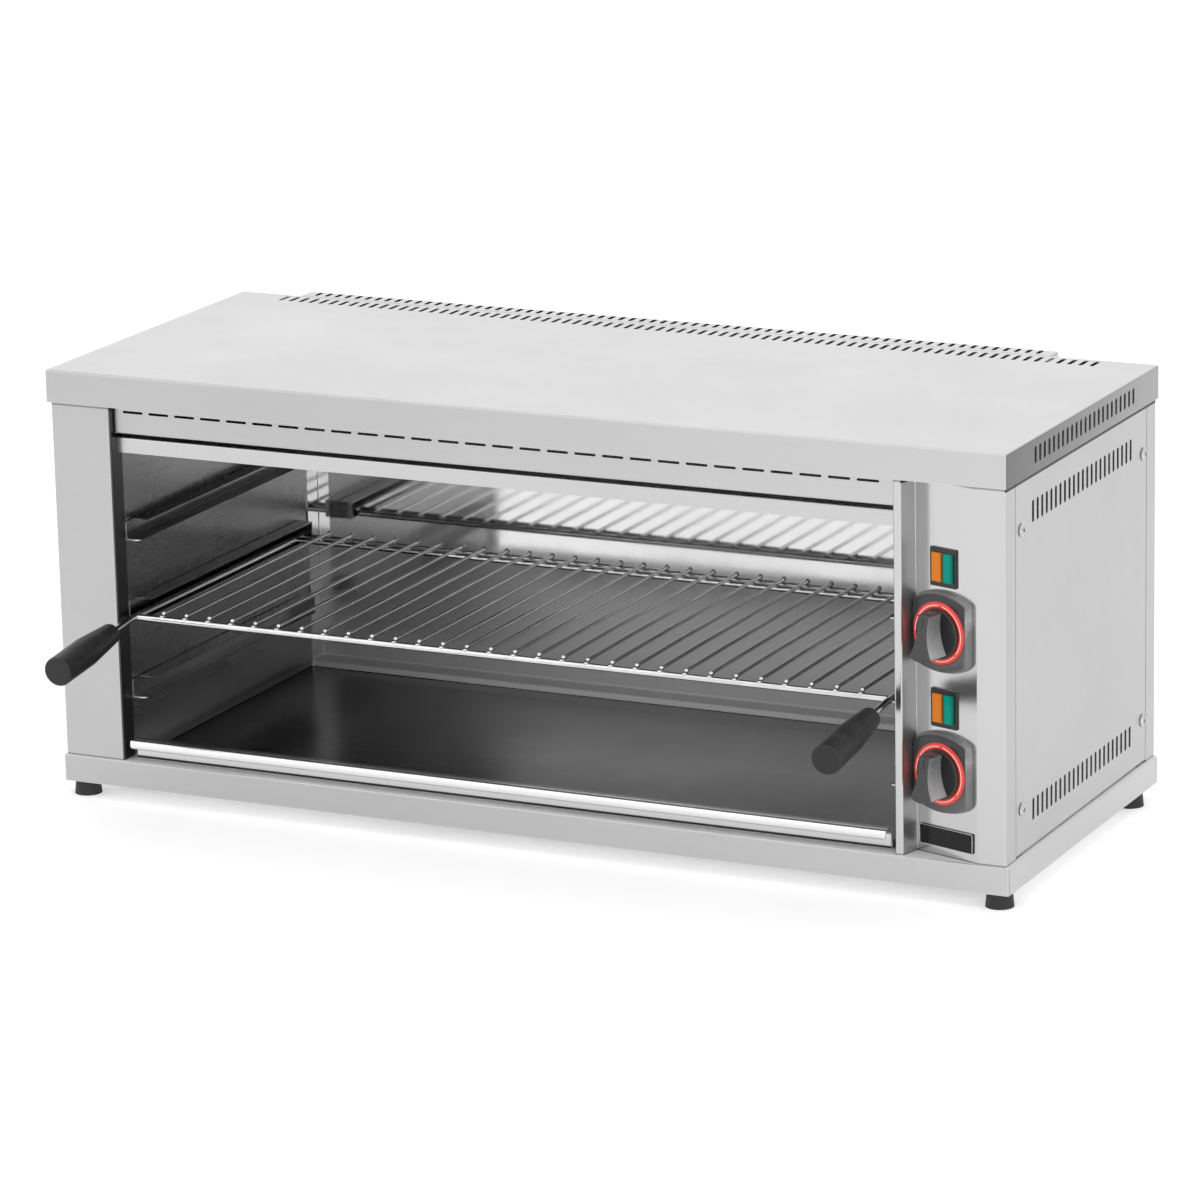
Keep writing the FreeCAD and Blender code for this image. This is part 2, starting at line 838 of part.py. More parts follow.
# Front posts. The left one is plain, the right one is the control panel in one sheet.

screw_hole = d.screw_radius + d.fit_gap
screw_front_y = post_side_end + d.side_screw_inset
screw_rear_y = rear_post_front - d.side_screw_rear
screw_levels = (level(d.side_screw_low), below_lid(d.side_screw_drop))

left_column = new_body("LeftColumn")
folded(left_column, "z", [
    (chamber_side["left"], d.post_setback + d.post_return),
    (chamber_side["left"], d.post_setback),
    (-post_x, d.post_setback),
    (-post_x, post_side_end),
    (-flange_x, post_side_end),
    (-flange_x, post_flange_end),
], d.skin_sheet, -1.0, (base_top, lid_under), bends={3: None, 4: None})
bores(left_column, "x", [(screw_front_y, height) for height in screw_levels], screw_hole,
      (-post_x - 1.0, -flange_x + d.skin_sheet + 1.0))
node(left_column, "left_column")

recess_x = chamber_side["right"] + d.panel_strip + d.recess_depth * trig("sin", d.panel_angle)
recess_y = d.post_setback + d.recess_depth * trig("cos", d.panel_angle)
panel_sheet = new_body("ControlPanelSheet")
folded(panel_sheet, "z", [
    (chamber_side["right"], d.post_setback + d.post_return),
    (chamber_side["right"], d.post_setback),
    (chamber_side["right"] + d.panel_strip, d.post_setback),
    (recess_x, recess_y),
    (bend_x, d.post_setback),
    (post_x, d.post_setback),
    (post_x, post_side_end),
    (flange_x, post_side_end),
    (flange_x, post_flange_end),
], d.skin_sheet, 1.0, (base_top, lid_under),
    slants={2: (trig("sin", d.panel_angle), trig("cos", d.panel_angle)),
            3: (trig("cos", d.panel_angle), -trig("sin", d.panel_angle))},
    bends={6: None, 7: None})
bores(panel_sheet, "x", [(screw_front_y, height) for height in screw_levels], screw_hole,
      (flange_x - d.skin_sheet - 1.0, post_x + 1.0))

control_u = -d.control_place
knob_levels = {"upper": level(d.knob_upper_level), "lower": level(d.knob_lower_level)}
pilot_levels = {"upper": level(d.pilot_upper_level), "lower": level(d.pilot_lower_level)}
cutters = []
for tier in ("upper", "lower"):
    hole = rod("PanelHole_" + tier, "z", (control_u, knob_levels[tier], -d.skin_sheet * 3.0),
               d.skin_sheet * 6.0, d.panel_hole)
    cutters.append(hole)
    window = block(
        "PanelWindow_" + tier,
        (control_u - d.pilot_body_width / 2.0 - d.seat_gap,
         control_u + d.pilot_body_width / 2.0 + d.seat_gap),
        (pilot_levels[tier] - d.pilot_body_height / 2.0 - d.seat_gap,
         pilot_levels[tier] + d.pilot_body_height / 2.0 + d.seat_gap),
        (-d.skin_sheet * 3.0, d.skin_sheet * 3.0))
    cutters.append(window)
panel_tools = group("PanelTools", cutters)
set_on_panel(panel_tools, d.post_setback)
control_panel = less("ControlPanel", panel_sheet, panel_tools)
node(control_panel, "control_panel")

# Rear posts: each also covers the rear of its side cabinet as far as the rear duct.

gland_x = lid_side - d.gland_inset
gland_level = level(d.gland_level)
duct_screw_x = {}
duct_screw_ends = (level(d.duct_screw_low), below_lid(d.duct_screw_drop))
duct_screw_levels = (duct_screw_ends[0], (duct_screw_ends[0] + duct_screw_ends[1]) / 2.0,
                     duct_screw_ends[1])
for hand, sign in HANDS.items():
    duct_screw_x[hand] = liner_side[hand] + d.duct_flange * sign / 2.0
    corner = new_body("RearCorner_" + hand)
    liner_back = liner_side[hand] + (d.liner_sheet + d.seat_gap) * sign
    folded(corner, "z", [
        (flange_x * sign, rear_flange_front),
        (flange_x * sign, rear_post_front),
        (post_x * sign, rear_post_front),
        (post_x * sign, rear_skin),
        (liner_back, rear_skin),
    ], d.skin_sheet, sign, (base_top, sheet_top), bends={1: None, 2: None})
    across = (flange_x - d.skin_sheet - 1.0, post_x + 1.0)
    span = across if sign > 0 else (-across[1], -across[0])
    bores(corner, "x", [(screw_rear_y, height) for height in screw_levels], screw_hole, span)
    rear_span = (rear_skin - d.skin_sheet - 1.0, rear_skin + 1.0)
    bores(corner, "y", [(duct_screw_x[hand], height) for height in duct_screw_levels],
          screw_hole, rear_span)
    if hand == "right":
        bores(corner, "y", [(gland_x, gland_level)], d.gland_radius + d.fit_gap, rear_span)
    node(corner, "rear_corner_" + hand)

# Side panels, held by four screws each.

for hand, sign in HANDS.items():
    panel = new_body("SidePanel_" + hand)
    outer, inner = post_x * sign, flange_x * sign
    y = (post_side_end + d.seat_gap, rear_post_front - d.seat_gap)
    z = (level(d.side_panel_bottom), below_lid(d.side_panel_drop))
    skin = (inner, outer) if sign > 0 else (outer, inner)
    extrude(panel, "x", rectangle(y, z), skin)
    depth = outer - d.side_panel_flange * sign
    flange_y = (post_flange_end + 1.0, rear_flange_front - 1.0)
    for low in (z[0], z[1] - d.skin_sheet):
        extrude(panel, "y", rectangle((depth, outer), (low, low + d.skin_sheet)), flange_y)
    middle = Vector(outer.value, (y[0].value + y[1].value) / 2.0, (z[0].value + z[1].value) / 2.0)
    rounded(panel, [
        Vector(outer.value, middle.y, z[0].value), Vector(outer.value, middle.y, z[1].value),
        Vector(outer.value, y[0].value, middle.z), Vector(outer.value, y[1].value, middle.z),
    ], d.bend_radius)
    wide = (skin[0] - 1.0, skin[1] + 1.0)
    side_vents(panel, below_lid(d.side_vent_drop), d.side_vent_length, wide)
    side_vents(panel, level(d.side_vent_lower), d.side_vent_length, wide)
    bores(panel, "x", [(place, height) for place in (screw_front_y, screw_rear_y)
                       for height in screw_levels], screw_hole, wide)
    node(panel, "side_panel_" + hand)


def domed_screw(name, axis, sign, place):
    """A domed cross-head screw; its head stands on the place and looks along the axis."""
    parts = []
    x, y, z = place
    along = "xyz".index(axis)

    def moved(distance):
        spread = [x, y, z]
        spread[along] = spread[along] + distance * sign
        return tuple(spread)

    def span(near, far):
        ends = [moved(near)[along], moved(far)[along]]
        return tuple(ends) if sign > 0 else tuple(ends[::-1])

    def bar(suffix, near, far, radius):
        low = span(near, far)
        start = [x, y, z]
        start[along] = low[0]
        return rod(name + suffix, axis, start, low[1] - low[0], radius)

    dome_radius = (d.screw_head * d.screw_head + d.screw_dome * d.screw_dome) / (d.screw_dome * 2.0)
    top = d.screw_rim + d.screw_dome
    globe = ball(name + "_globe", moved(top - dome_radius), dome_radius)
    limit = bar("_limit", Size(0.0), top, d.screw_head)
    head = doc.addObject("Part::MultiCommon", name + "_head")
    head.Shapes = [globe, limit]
    shank = bar("_shank", -d.screw_length, d.screw_rim, d.screw_radius)
    solid = fused(name + "_solid", head, shank)
    deep = span(top - d.cross_depth, top + 1.0)
    half_long = d.cross_length / 2.0
    half_wide = d.cross_width / 2.0
    others = [index for index in range(3) if index != along]
    for turn in range(2):
        spread = [None, None, None]
        spread[along] = deep
        for half, index in zip((half_long, half_wide), others if turn else others[::-1]):
            spread[index] = (place[index] - half, place[index] + half)
        parts.append(block("%s_cross%d" % (name, turn), *spread))
    return less(name + "_screw", solid, *parts)


for hand, sign in HANDS.items():
    screws = []
    for place_y in (screw_front_y, screw_rear_y):
        for height in screw_levels:
            name = "SideScrew_%s_%d" % (hand, len(screws))
            screws.append(domed_screw(name, "x", sign, (post_x * sign, place_y, height)))
    node(group("SideScrews_" + hand, screws), "side_screws_" + hand)

# Rear duct: its back is the rear wall of the chamber, its top is slotted.

duct = new_body("RearCowl")
x = (liner_side["left"], liner_side["right"])
y = (rear_skin, duct_rear)
z = (base_top, lid_top)
extrude(duct, "z", rectangle(x, y), z)
mid_y = (y[0].value + y[1].value) / 2.0
mid_z = (z[0].value + z[1].value) / 2.0
rounded(duct, [
    Vector(x[0].value, y[1].value, mid_z), Vector(x[1].value, y[1].value, mid_z),
    Vector(0, y[1].value, z[1].value),
    Vector(x[0].value, mid_y, z[1].value), Vector(x[1].value, mid_y, z[1].value),
], d.edge_radius)
shelled(duct, Vector(0, y[0].value, mid_z), d.skin_sheet)
# The rear skirt of the lid stands in front of the duct's upper end.
hollow(duct, "z", rectangle((x[0] - 1.0, x[1] + 1.0), (y[0] - 1.0, d.lid_depth)),
       (skirt_low - d.seat_gap, lid_top + 1.0))
for hand, sign in HANDS.items():
    flange = (liner_side[hand] + d.duct_flange * sign, chamber_side[hand])
    extrude(duct, "z", rectangle(flange, (rear_skin, d.lid_depth)),
            (base_top, skirt_low - d.seat_gap))
slot_radius = d.lid_vent_width / 2.0
slot_start = d.lid_depth + d.duct_vent_offset + slot_radius
slot_end = d.lid_depth + d.duct_vent_offset + d.duct_vent_length - slot_radius
first = chamber_middle - duct_vent_steps * d.vent_pitch / 2.0
slot_row(duct, "z", (first, slot_start), (first, slot_end), d.lid_vent_width,
         (lid_under - 1.0, lid_top + 1.0), duct_vent_steps + 1.0, d.vent_pitch)
bores(duct, "y", [(duct_screw_x[hand], height) for hand in HANDS for height in duct_screw_levels],
      screw_hole, (rear_skin - 1.0, d.lid_depth + 1.0))
node(duct, "rear_cowl")

screws = []
for hand in HANDS:
    for height in duct_screw_levels:
        name = "CowlScrew_%d" % len(screws)
        screws.append(domed_screw(name, "y", 1.0, (duct_screw_x[hand], d.lid_depth, height)))
node(group("CowlScrews", screws), "cowl_screws")

# Inner walls of the chamber.

leg_places = []
for row_index in range(2):
    for leg in range(2):
        leg_places.append(d.element_front + d.element_pitch * row_index
                          + d.element_bend * 2.0 * leg)
element_z = below_lid(d.element_drop)
# The right wall's flanges stop short of the recess beside the control panel.
recess_clear = recess_y + d.skin_sheet + d.seat_gap

for hand, sign in HANDS.items():
    wall = new_body("ChamberWall_" + hand)
    face = liner_side[hand]
    flange = face + d.liner_flange * sign
    folded(wall, "y", [
        (flange, base_top), (face, base_top), (face, lid_under), (flange, lid_under),
    ], d.liner_sheet, -sign, (d.liner_front, rear_skin - d.skin_sheet - d.seat_gap))
    plate = (face, face + d.liner_sheet * sign)
    extrude(wall, "y", rectangle(plate, (base_top, sheet_top)),
            (rear_skin - d.skin_sheet * 2.0, rear_skin))
    if hand == "right":
        web_side = face + d.liner_sheet + d.bend_radius
        for low, high in ((base_top - 1.0, base_top + d.liner_sheet),
                          (lid_under - d.liner_sheet, lid_under + 1.0)):
            hollow(wall, "y", rectangle((web_side, flange + 1.0), (low, high)),
                   (d.liner_front - 1.0, recess_clear))
        bores(wall, "x", [(place, element_z) for place in leg_places],
              d.bushing_radius + d.fit_gap, (face - 1.0, face + d.liner_sheet + 1.0))
    node(wall, "chamber_wall_" + hand)

# Guides of the rack: channels with a shorter upper flange and a closed rear end.

GUIDE_STEPS = {"low": 0.0, "middle": 1.0, "top": 2.0}
guide_rear = d.lid_depth - d.guide_rear_gap
for hand, sign in HANDS.items():
    face = liner_side[hand]
    tip = face - d.guide_depth * sign
    web = face - d.liner_sheet * sign
    for tier, step in GUIDE_STEPS.items():
        low = level(d.guide_low + d.guide_pitch * step)
        high = low + d.guide_height
        guide = new_body("Guide_%s_%s" % (hand, tier))
        folded(guide, "y", [(tip, low), (face, low), (face, high), (tip, high)],
               d.liner_sheet, sign, (d.guide_front, guide_rear))
        hollow(guide, "z",
               rectangle((web - d.bend_radius * sign, tip - 1.0 * sign),
                         (d.guide_front - 1.0, d.guide_upper_front)),
               (high - d.liner_sheet - 1.0, high + 1.0))
        extrude(guide, "y", rectangle((face, tip), (low, high)),
                (guide_rear - d.liner_sheet, guide_rear))
        rounded(guide, [Vector(tip.value, d.guide_front.value, low.value + 0.5)], d.guide_corner)
        node(guide, "guide_%s_%s" % (hand, tier))

# Front strip under the lid.

front_x = (chamber_side["left"] + d.seat_gap, chamber_side["right"] - d.seat_gap)
fascia = new_body("Fascia")
fascia_low = below_lid(d.fascia_drop)
folded(fascia, "x", [
    (d.fascia_front + d.fascia_top_flange, lid_under),
    (d.fascia_front, lid_under),
    (d.fascia_front, fascia_low),
    (d.fascia_front + d.fascia_flange, fascia_low),
], d.liner_sheet, 1.0, front_x)
slot_radius = d.fascia_slot_height / 2.0
slot_z = below_lid(d.fascia_slot_drop)
slot_x = chamber_side["left"] + d.fascia_slot_margin + slot_radius
slot_row(fascia, "y", (slot_x, slot_z), (slot_x + d.fascia_slot_length - slot_radius * 2.0, slot_z),
         d.fascia_slot_height, (d.fascia_front - 1.0, d.fascia_front + d.liner_sheet + 1.0),
         fascia_slot_steps + 1.0, d.fascia_slot_pitch)
node(fascia, "fascia")

# Hood: the reflector over the chamber; its ends are wider behind the posts.

hood = new_body("Hood")
hood_low = below_lid(d.hood_low_drop)
hood_top = below_lid(d.hood_top_drop)
hood_rear = d.lid_depth - d.hood_rear_gap
hood_under = hood_top - d.liner_sheet
folded(hood, "x", [
    (d.hood_front, hood_low), (d.hood_front, hood_top),
    (hood_rear, hood_top), (hood_rear, hood_low),
], d.liner_sheet, -1.0, front_x)
for hand, sign in HANDS.items():
    face = liner_side[hand]
    inner = face - d.liner_sheet * sign
    edge = face - d.liner_sheet * 3.0 * sign
    extrude(hood, "y", [
        (face, hood_low), (inner, hood_low), (inner, hood_under),
        (edge, hood_under), (edge, hood_top), (face, hood_top),
    ], (d.hood_end_start, hood_rear - d.liner_sheet))
node(hood, "hood")

# Heating elements: one hairpin for each regulator, hung under the hood.

element_left = liner_side["left"] + d.element_left_gap + d.element_bend
element_right = liner_side["right"] + d.element_wall_reach
for order, label in enumerate(("front", "rear")):
    near, far = leg_places[order * 2], leg_places[order * 2 + 1]
    loop = doc.addObject("Part::Torus", "ElementBend_" + label)
    bind(loop, "Radius1", d.element_bend)
    bind(loop, "Radius2", d.element_radius)
    loop.Angle3 = 180
    loop.Placement = FreeCAD.Placement(Vector(), FreeCAD.Rotation(Vector(0, 0, 1), 90))
    stand_at(loop, element_left, (near + far) / 2.0, element_z)
    legs = []
    for place in (near, far):
        legs.append(rod("ElementLeg_%s_%d" % (label, len(legs)), "x",
                        (element_left, place, element_z),
                        element_right - element_left, d.element_radius))
    node(fused("Element_" + label, loop, *legs), "element_" + label)

hangers = []
hanger_pitch = chamber_width / 2.0 - d.hanger_inset
hanger_y = (leg_places[0] - d.hanger_foot, leg_places[3] + d.hanger_foot)
hanger_low = element_z - d.element_radius - d.liner_sheet * 3.0
for step in (-1.0, 0.0, 1.0):
    place = chamber_middle + hanger_pitch * step
    name = "Hanger%d" % len(hangers)
    plate = block(name + "_plate", (place, place + d.liner_sheet), hanger_y, (hanger_low, hood_under))
    foot = block(name + "_foot", (place, place + d.hanger_foot), hanger_y,
                 (hood_under - d.liner_sheet, hood_under))
    holes = [rod("%s_hole%d" % (name, index), "x", (place - 1.0, leg, element_z),
                 d.liner_sheet + 2.0, d.element_radius + d.fit_gap)
             for index, leg in enumerate(leg_places)]
    hangers.append(less(name, fused(name + "_sheet", plate, foot), *holes))
node(group("ElementHangers", hangers), "element_hangers")

bushings = []
terminals = []
wall_back = liner_side["right"] + d.liner_sheet
for index, leg in enumerate(leg_places):
    name = "Bushing%d" % index
    neck = rod(name + "_neck", "x", (liner_side["right"] - 1.0, leg, element_z),
               d.liner_sheet + 1.0 + d.bushing_rim * 3.0, d.bushing_radius)
    rim = rod(name + "_rim", "x", (wall_back, leg, element_z), d.bushing_rim, d.bushing_flange)
    bore = rod(name + "_bore", "x", (liner_side["right"] - 2.0, leg, element_z),
               d.liner_sheet + 3.0 + d.bushing_rim * 4.0, d.element_radius + d.fit_gap)
    bushings.append(less(name, fused(name + "_collar", neck, rim), bore))
    name = "Terminal%d" % index
    ceramic = rod(name + "_ceramic", "x", (element_right, leg, element_z),
                  d.terminal_length, d.terminal_radius)
    pin = rod(name + "_pin", "x", (element_right + d.terminal_length, leg, element_z),
              d.pin_length, d.pin_radius)
    terminals.append(fused(name, ceramic, pin))
node(group("ElementBushings", bushings), "element_bushings")
node(group("ElementTerminals", terminals), "element_terminals")

# Rack: it rests in the middle guides; its side bars run on to the front as handle rods.

bar_z = (level(d.guide_low + d.guide_pitch) + d.liner_sheet + d.seat_gap + d.bar_radius)
rack_side = {"left": chamber_side["left"] + d.rack_side_gap,
             "right": chamber_side["right"] - d.rack_side_gap}
rack_rear = d.lid_depth - d.rack_rear_gap
grip_turn = "rotation(vector(1; 0; 0); 90 + Dims.handle_tilt)"


def set_on_handle(item, place_x, run, y):
    """Local Z runs along the sloping handle, from a distance behind the bend."""
    base_y = y - run * trig("cos", d.handle_tilt)
    base_z = bar_z - run * trig("sin", d.handle_tilt)
    item.setExpression("Placement", "placement(vector(%s; %s; %s); %s)" % (
        place_x.written(), base_y.written(), base_z.written(), grip_turn))


for hand in HANDS:
    place = rack_side[hand]
    straight = rod("SideBar_" + hand, "y", (place, d.handle_bend, bar_z),
                   rack_rear - d.handle_bend, d.bar_radius)
    elbow = ball("Elbow_" + hand, (place, d.handle_bend, bar_z), d.bar_radius)
    slope = doc.addObject("Part::Cylinder", "Slope_" + hand)
    bind(slope, "Radius", d.bar_radius)
    bind(slope, "Height", d.handle_neck + d.grip_rod_depth)
    set_on_handle(slope, place, Size(0.0), d.handle_bend)
    node(fused("RackSideBar_" + hand, straight, elbow, slope), "rack_side_bar_" + hand)

cross_x = rack_side["left"] + d.bar_radius
cross_length = rack_side["right"] - d.bar_radius - cross_x
node(rod("RackFrontBar", "x", (cross_x, d.rack_front_bar, bar_z), cross_length, d.bar_radius),
     "rack_front_bar")
rear_bars = [rod("RackRearBar%d" % index, "x", (cross_x, place, bar_z), cross_length, d.bar_radius)
             for index, place in enumerate((rack_rear - d.rack_rear_bar_inset,
                                            rack_rear - d.rack_end_bar_inset))]
node(group("RackRearBars", rear_bars), "rack_rear_bars")

wire_z = bar_z + d.bar_radius + d.wire_radius + d.fit_gap
wires = []
first_wire = rack_side["left"] + d.wire_side
wire_pitch = (rack_side["right"] - d.wire_side - first_wire) / (d.wire_count - 1.0)
for index in range(int(DIMENSIONS["wire_count"])):
    wires.append(rod("RackWire%d" % index, "y",
                     (first_wire + wire_pitch * float(index), d.wire_front, wire_z),
                     rack_rear - d.wire_front, d.wire_radius))
node(group("RackWires", wires), "rack_wires")

for hand in HANDS:
    grip = new_body("Grip_" + hand)
    bore = d.bar_radius + d.fit_gap
    sketch = sketch_on(grip, "y", 0.0)
    taper = d.grip_length - d.grip_straight
    draw_polygon(sketch, [
        (bore, 0.0), (d.grip_neck_radius, 0.0), (d.grip_radius, taper),
        (d.grip_radius, d.grip_length), (0.0, d.grip_length),
        (0.0, d.grip_rod_depth + d.fit_gap), (bore, d.grip_rod_depth + d.fit_gap),
    ])
    turned = grip.newObject("PartDesign::Revolution", grip.Name + "_turned")
    turned.Profile = sketch
    turned.ReferenceAxis = (sketch, ["V_Axis"])
    turned.Angle = 360.0
    grip.Tip = turned
    doc.recompute()
    rounded(grip, [Vector(-d.grip_radius.value, 0, d.grip_length.value),
                   Vector(-d.grip_neck_radius.value, 0, 0)], d.grip_edge)
    grip.Label = "rack_grip_" + hand
    set_on_handle(grip, rack_side[hand], d.handle_neck, d.handle_bend - middle_y)
    nodes.append(grip)

# Crumb tray: a shallow pan on the base and the rolled lip that pulls it out.

tray = new_body("TrayPan")
x = (chamber_side["left"] + d.tray_side_gap, chamber_side["right"] - d.tray_side_gap)
y = (d.tray_front + d.liner_sheet, d.lid_depth - d.tray_rear_gap)
tray_low = base_top + d.seat_gap
tray_high = tray_low + d.tray_rim
extrude(tray, "z", rectangle(x, y), (tray_low, tray_high))
mid_z = (tray_low + d.tray_rim / 2.0).value
wall = d.liner_sheet
hollow(tray, "z", rectangle((x[0] + wall, x[1] - wall), (y[0] + wall, y[1] - wall)),
       (tray_low + wall, tray_high + 1.0))
rounded(tray, [Vector((x[index] + wall * sign).value, (y[1] - wall).value, mid_z)
               for index, sign in ((0, 1.0), (1, -1.0))], d.tray_corner - wall)
rounded(tray, [Vector(x[index].value, y[1].value, mid_z) for index in range(2)], d.tray_corner)
extrude(tray, "z", rectangle(x, (y[0], y[0] + wall)), (tray_low + wall, tray_low + d.tray_front_rim))
node(tray, "tray_pan")

lip_top = level(d.tray_lip_top)
lip_under = lip_top - d.liner_sheet
lip_reach = d.tray_front - d.tray_lip_reach + d.liner_sheet
lip_low = lip_top - d.tray_lip_drop + d.liner_sheet
lip = new_body("TrayLipSheet")
folded(lip, "x", [
    (d.tray_front, tray_low + d.liner_sheet),
    (d.tray_front, lip_under),
    (lip_reach, lip_under),
    (lip_reach, lip_low),
    (lip_reach + d.tray_lip_return, lip_low),
], d.liner_sheet, -1.0, x,
    bends={2: d.tray_lip_round - d.liner_sheet, 3: d.tray_lip_round - d.liner_sheet})
corner_tools = []
for index, sign in ((0, 1.0), (1, -1.0)):
    end = x[index] - d.liner_sheet * sign
    turn_x = x[index] + d.tray_corner * sign
    span = (end, turn_x) if sign > 0 else (turn_x, end)
    depth = (lip_reach - d.liner_sheet * 2.0, lip_reach + d.tray_lip_return + 1.0)
    turn_z = lip_low - d.liner_sheet + d.tray_corner
    stock = block("LipCorner%d" % index, span, depth, (turn_z - d.tray_corner * 2.0, turn_z))
    core = rod("LipCore%d" % index, "y", (turn_x, depth[0], turn_z), depth[1] - depth[0],
               d.tray_corner)
    corner_tools.append(less("LipTool%d" % index, stock, core))
node(less("TrayLip", lip, *corner_tools), "tray_lip")

# Controls on the slanted panel, built in the panel's own frame.

for tier in ("upper", "lower"):
    centre = (control_u, knob_levels[tier])
    half = d.bezel_width / 2.0
    bezel_step = d.bezel_edge * 1.5
    bezel = new_body("Bezel_" + tier)
    stages = ((Size(0.0), Size(0.0), d.bezel_depth - d.bezel_edge),
              (bezel_step, d.bezel_depth - d.bezel_edge, d.bezel_depth))
    for inset, start, end in stages:
        sketch = sketch_on(bezel, "z", start)
        side = half - inset
        arc = d.bezel_arc
        apex = d.bezel_height / 2.0 - inset
        rise = math.sqrt(arc.value ** 2 - side.value ** 2)
        lean = math.asin(side.value / arc.value)
        up = Vector(0, 0, 1)
        cu, cv = centre[0].value, centre[1].value
        drop = apex.value - arc.value
        upper = sketch.addGeometry(Part.ArcOfCircle(
            Part.Circle(Vector(cu, cv + drop, 0), up, arc.value),
            math.pi / 2 - lean, math.pi / 2 + lean), False)
        lower = sketch.addGeometry(Part.ArcOfCircle(
            Part.Circle(Vector(cu, cv - drop, 0), up, arc.value),
            -math.pi / 2 - lean, -math.pi / 2 + lean), False)
        reach = drop + rise
        left = sketch.addGeometry(Part.LineSegment(
            Vector(cu - side.value, cv + reach, 0), Vector(cu - side.value, cv - reach, 0)), False)
        right = sketch.addGeometry(Part.LineSegment(
            Vector(cu + side.value, cv - reach, 0), Vector(cu + side.value, cv + reach, 0)), False)
        for one, one_end, two, two_end in ((upper, 2, left, 1), (left, 2, lower, 1),
                                           (lower, 2, right, 1), (right, 2, upper, 1)):
            sketch.addConstraint(Sketcher.Constraint("Coincident", one, one_end, two, two_end))
        hold_point(sketch, upper, 3, (centre[0], centre[1] + apex - arc))
        hold_point(sketch, lower, 3, (centre[0], centre[1] - apex + arc))
        for item in (upper, lower):
            limit = sketch.addConstraint(Sketcher.Constraint("Radius", item, arc.value))
            sketch.setExpression("Constraints[%d]" % limit, arc.written())
        for item, place in ((left, centre[0] - side), (right, centre[0] + side)):
            for end_of in (1, 2):
                limit = sketch.addConstraint(
                    Sketcher.Constraint("DistanceX", -1, 1, item, end_of, place.value))
                sketch.setExpression("Constraints[%d]" % limit, place.written())
        pad = bezel.newObject("PartDesign::Pad", bezel.Name + "_pad")
        pad.Profile = sketch
        bind(pad, "Length", end - start)
        bezel.Tip = pad
        doc.recompute()
        middle = ((start + end) / 2.0).value
        rounded(bezel, [Vector(cu + a * side.value, cv + b * reach, middle)
                        for a in (-1, 1) for b in (-1, 1)], d.bezel_corner - inset)
    bores(bezel, "z", [centre], d.panel_hole, (-1.0, d.bezel_depth + 1.0))
    node_on_panel(bezel, "bezel_" + tier)

    ring = new_body("DialRing_" + tier)
    ring_top = d.bezel_depth + d.ring_thickness
    disc(ring, centre, d.ring_outer, (d.bezel_depth, ring_top))
    bores(ring, "z", [centre], d.ring_inner, (d.bezel_depth - 1.0, ring_top + 1.0))
    node_on_panel(ring, "dial_ring_" + tier)

    # The knob's wing is wide and high at its lower end and narrow at its pointer end.
    knob = new_body("Knob_" + tier)
    knob_low = ring_top + d.knob_gap
    skirt_top = knob_low + d.knob_skirt
    stock_top = knob_low + d.wing_base_depth + 2.0
    stock = d.wing_base_reach + 1.0
    disc(knob, centre, d.knob_radius, (knob_low, skirt_top))
    rounded(knob, [Vector(centre[0].value - d.knob_radius.value, centre[1].value, skirt_top.value)],
            d.bezel_edge)
    disc(knob, centre, stock, (knob_low, stock_top))
    slope_start = centre[1] - stock - 1.0
    slope_end = centre[1] + stock + 1.0
    hollow(knob, "x", [
        (slope_start, knob_low + d.wing_base_depth), (slope_end, knob_low + d.wing_tip_depth),
        (slope_end, stock_top + 1.0), (slope_start, stock_top + 1.0),
    ], (centre[0] - stock - 1.0, centre[0] + stock + 1.0))
    # Two round cutters leave the hollow flanks; their centres lie beside the waist.
    flank = d.wing_flank
    waist_v = centre[1] + d.wing_waist_shift
    bores(knob, "z", [(centre[0] - d.wing_waist - flank, waist_v),
                      (centre[0] + d.wing_waist + flank, waist_v)],
          flank, (skirt_top, stock_top + 1.0))
    wing = knob.Tip
    top_faces = []
    for index, face in enumerate(wing.Shape.Faces, 1):
        if face.BoundBox.ZMin > skirt_top.value + 5.0:
            top_faces.append("Face%d" % index)
    edge = knob.newObject("PartDesign::Fillet", knob.Name + "_edge")
    edge.Base = (wing, top_faces)
    bind(edge, "Radius", d.wing_edge)
    knob.Tip = edge
    doc.recompute()
    pointer_end = centre[1] + d.wing_tip_reach - d.wing_edge * 1.5
    pointer = (centre[0] - d.pointer_width / 2.0, centre[0] + d.pointer_width / 2.0)
    hollow(knob, "z", rectangle(pointer, (pointer_end - d.knob_pointer, pointer_end)),
           (knob_low + d.wing_tip_depth - d.pointer_width / 2.0, stock_top + 1.0))
    bores(knob, "z", [centre], d.shaft_radius + d.fit_gap, (knob_low - 1.0, d.shaft_reach + d.seat_gap))
    node_on_panel(knob, "knob_" + tier)

    shaft_low = -d.skin_sheet - d.shaft_inside
    shaft = new_body("Shaft_" + tier)
    disc(shaft, centre, d.shaft_radius, (shaft_low, d.shaft_reach))
    hollow(shaft, "z", rectangle((centre[0] + d.shaft_flat, centre[0] + d.shaft_radius + 1.0),
                                 (centre[1] - d.shaft_radius - 1.0, centre[1] + d.shaft_radius + 1.0)),
           (knob_low + 1.0, d.shaft_reach))
    node_on_panel(shaft, "shaft_" + tier)

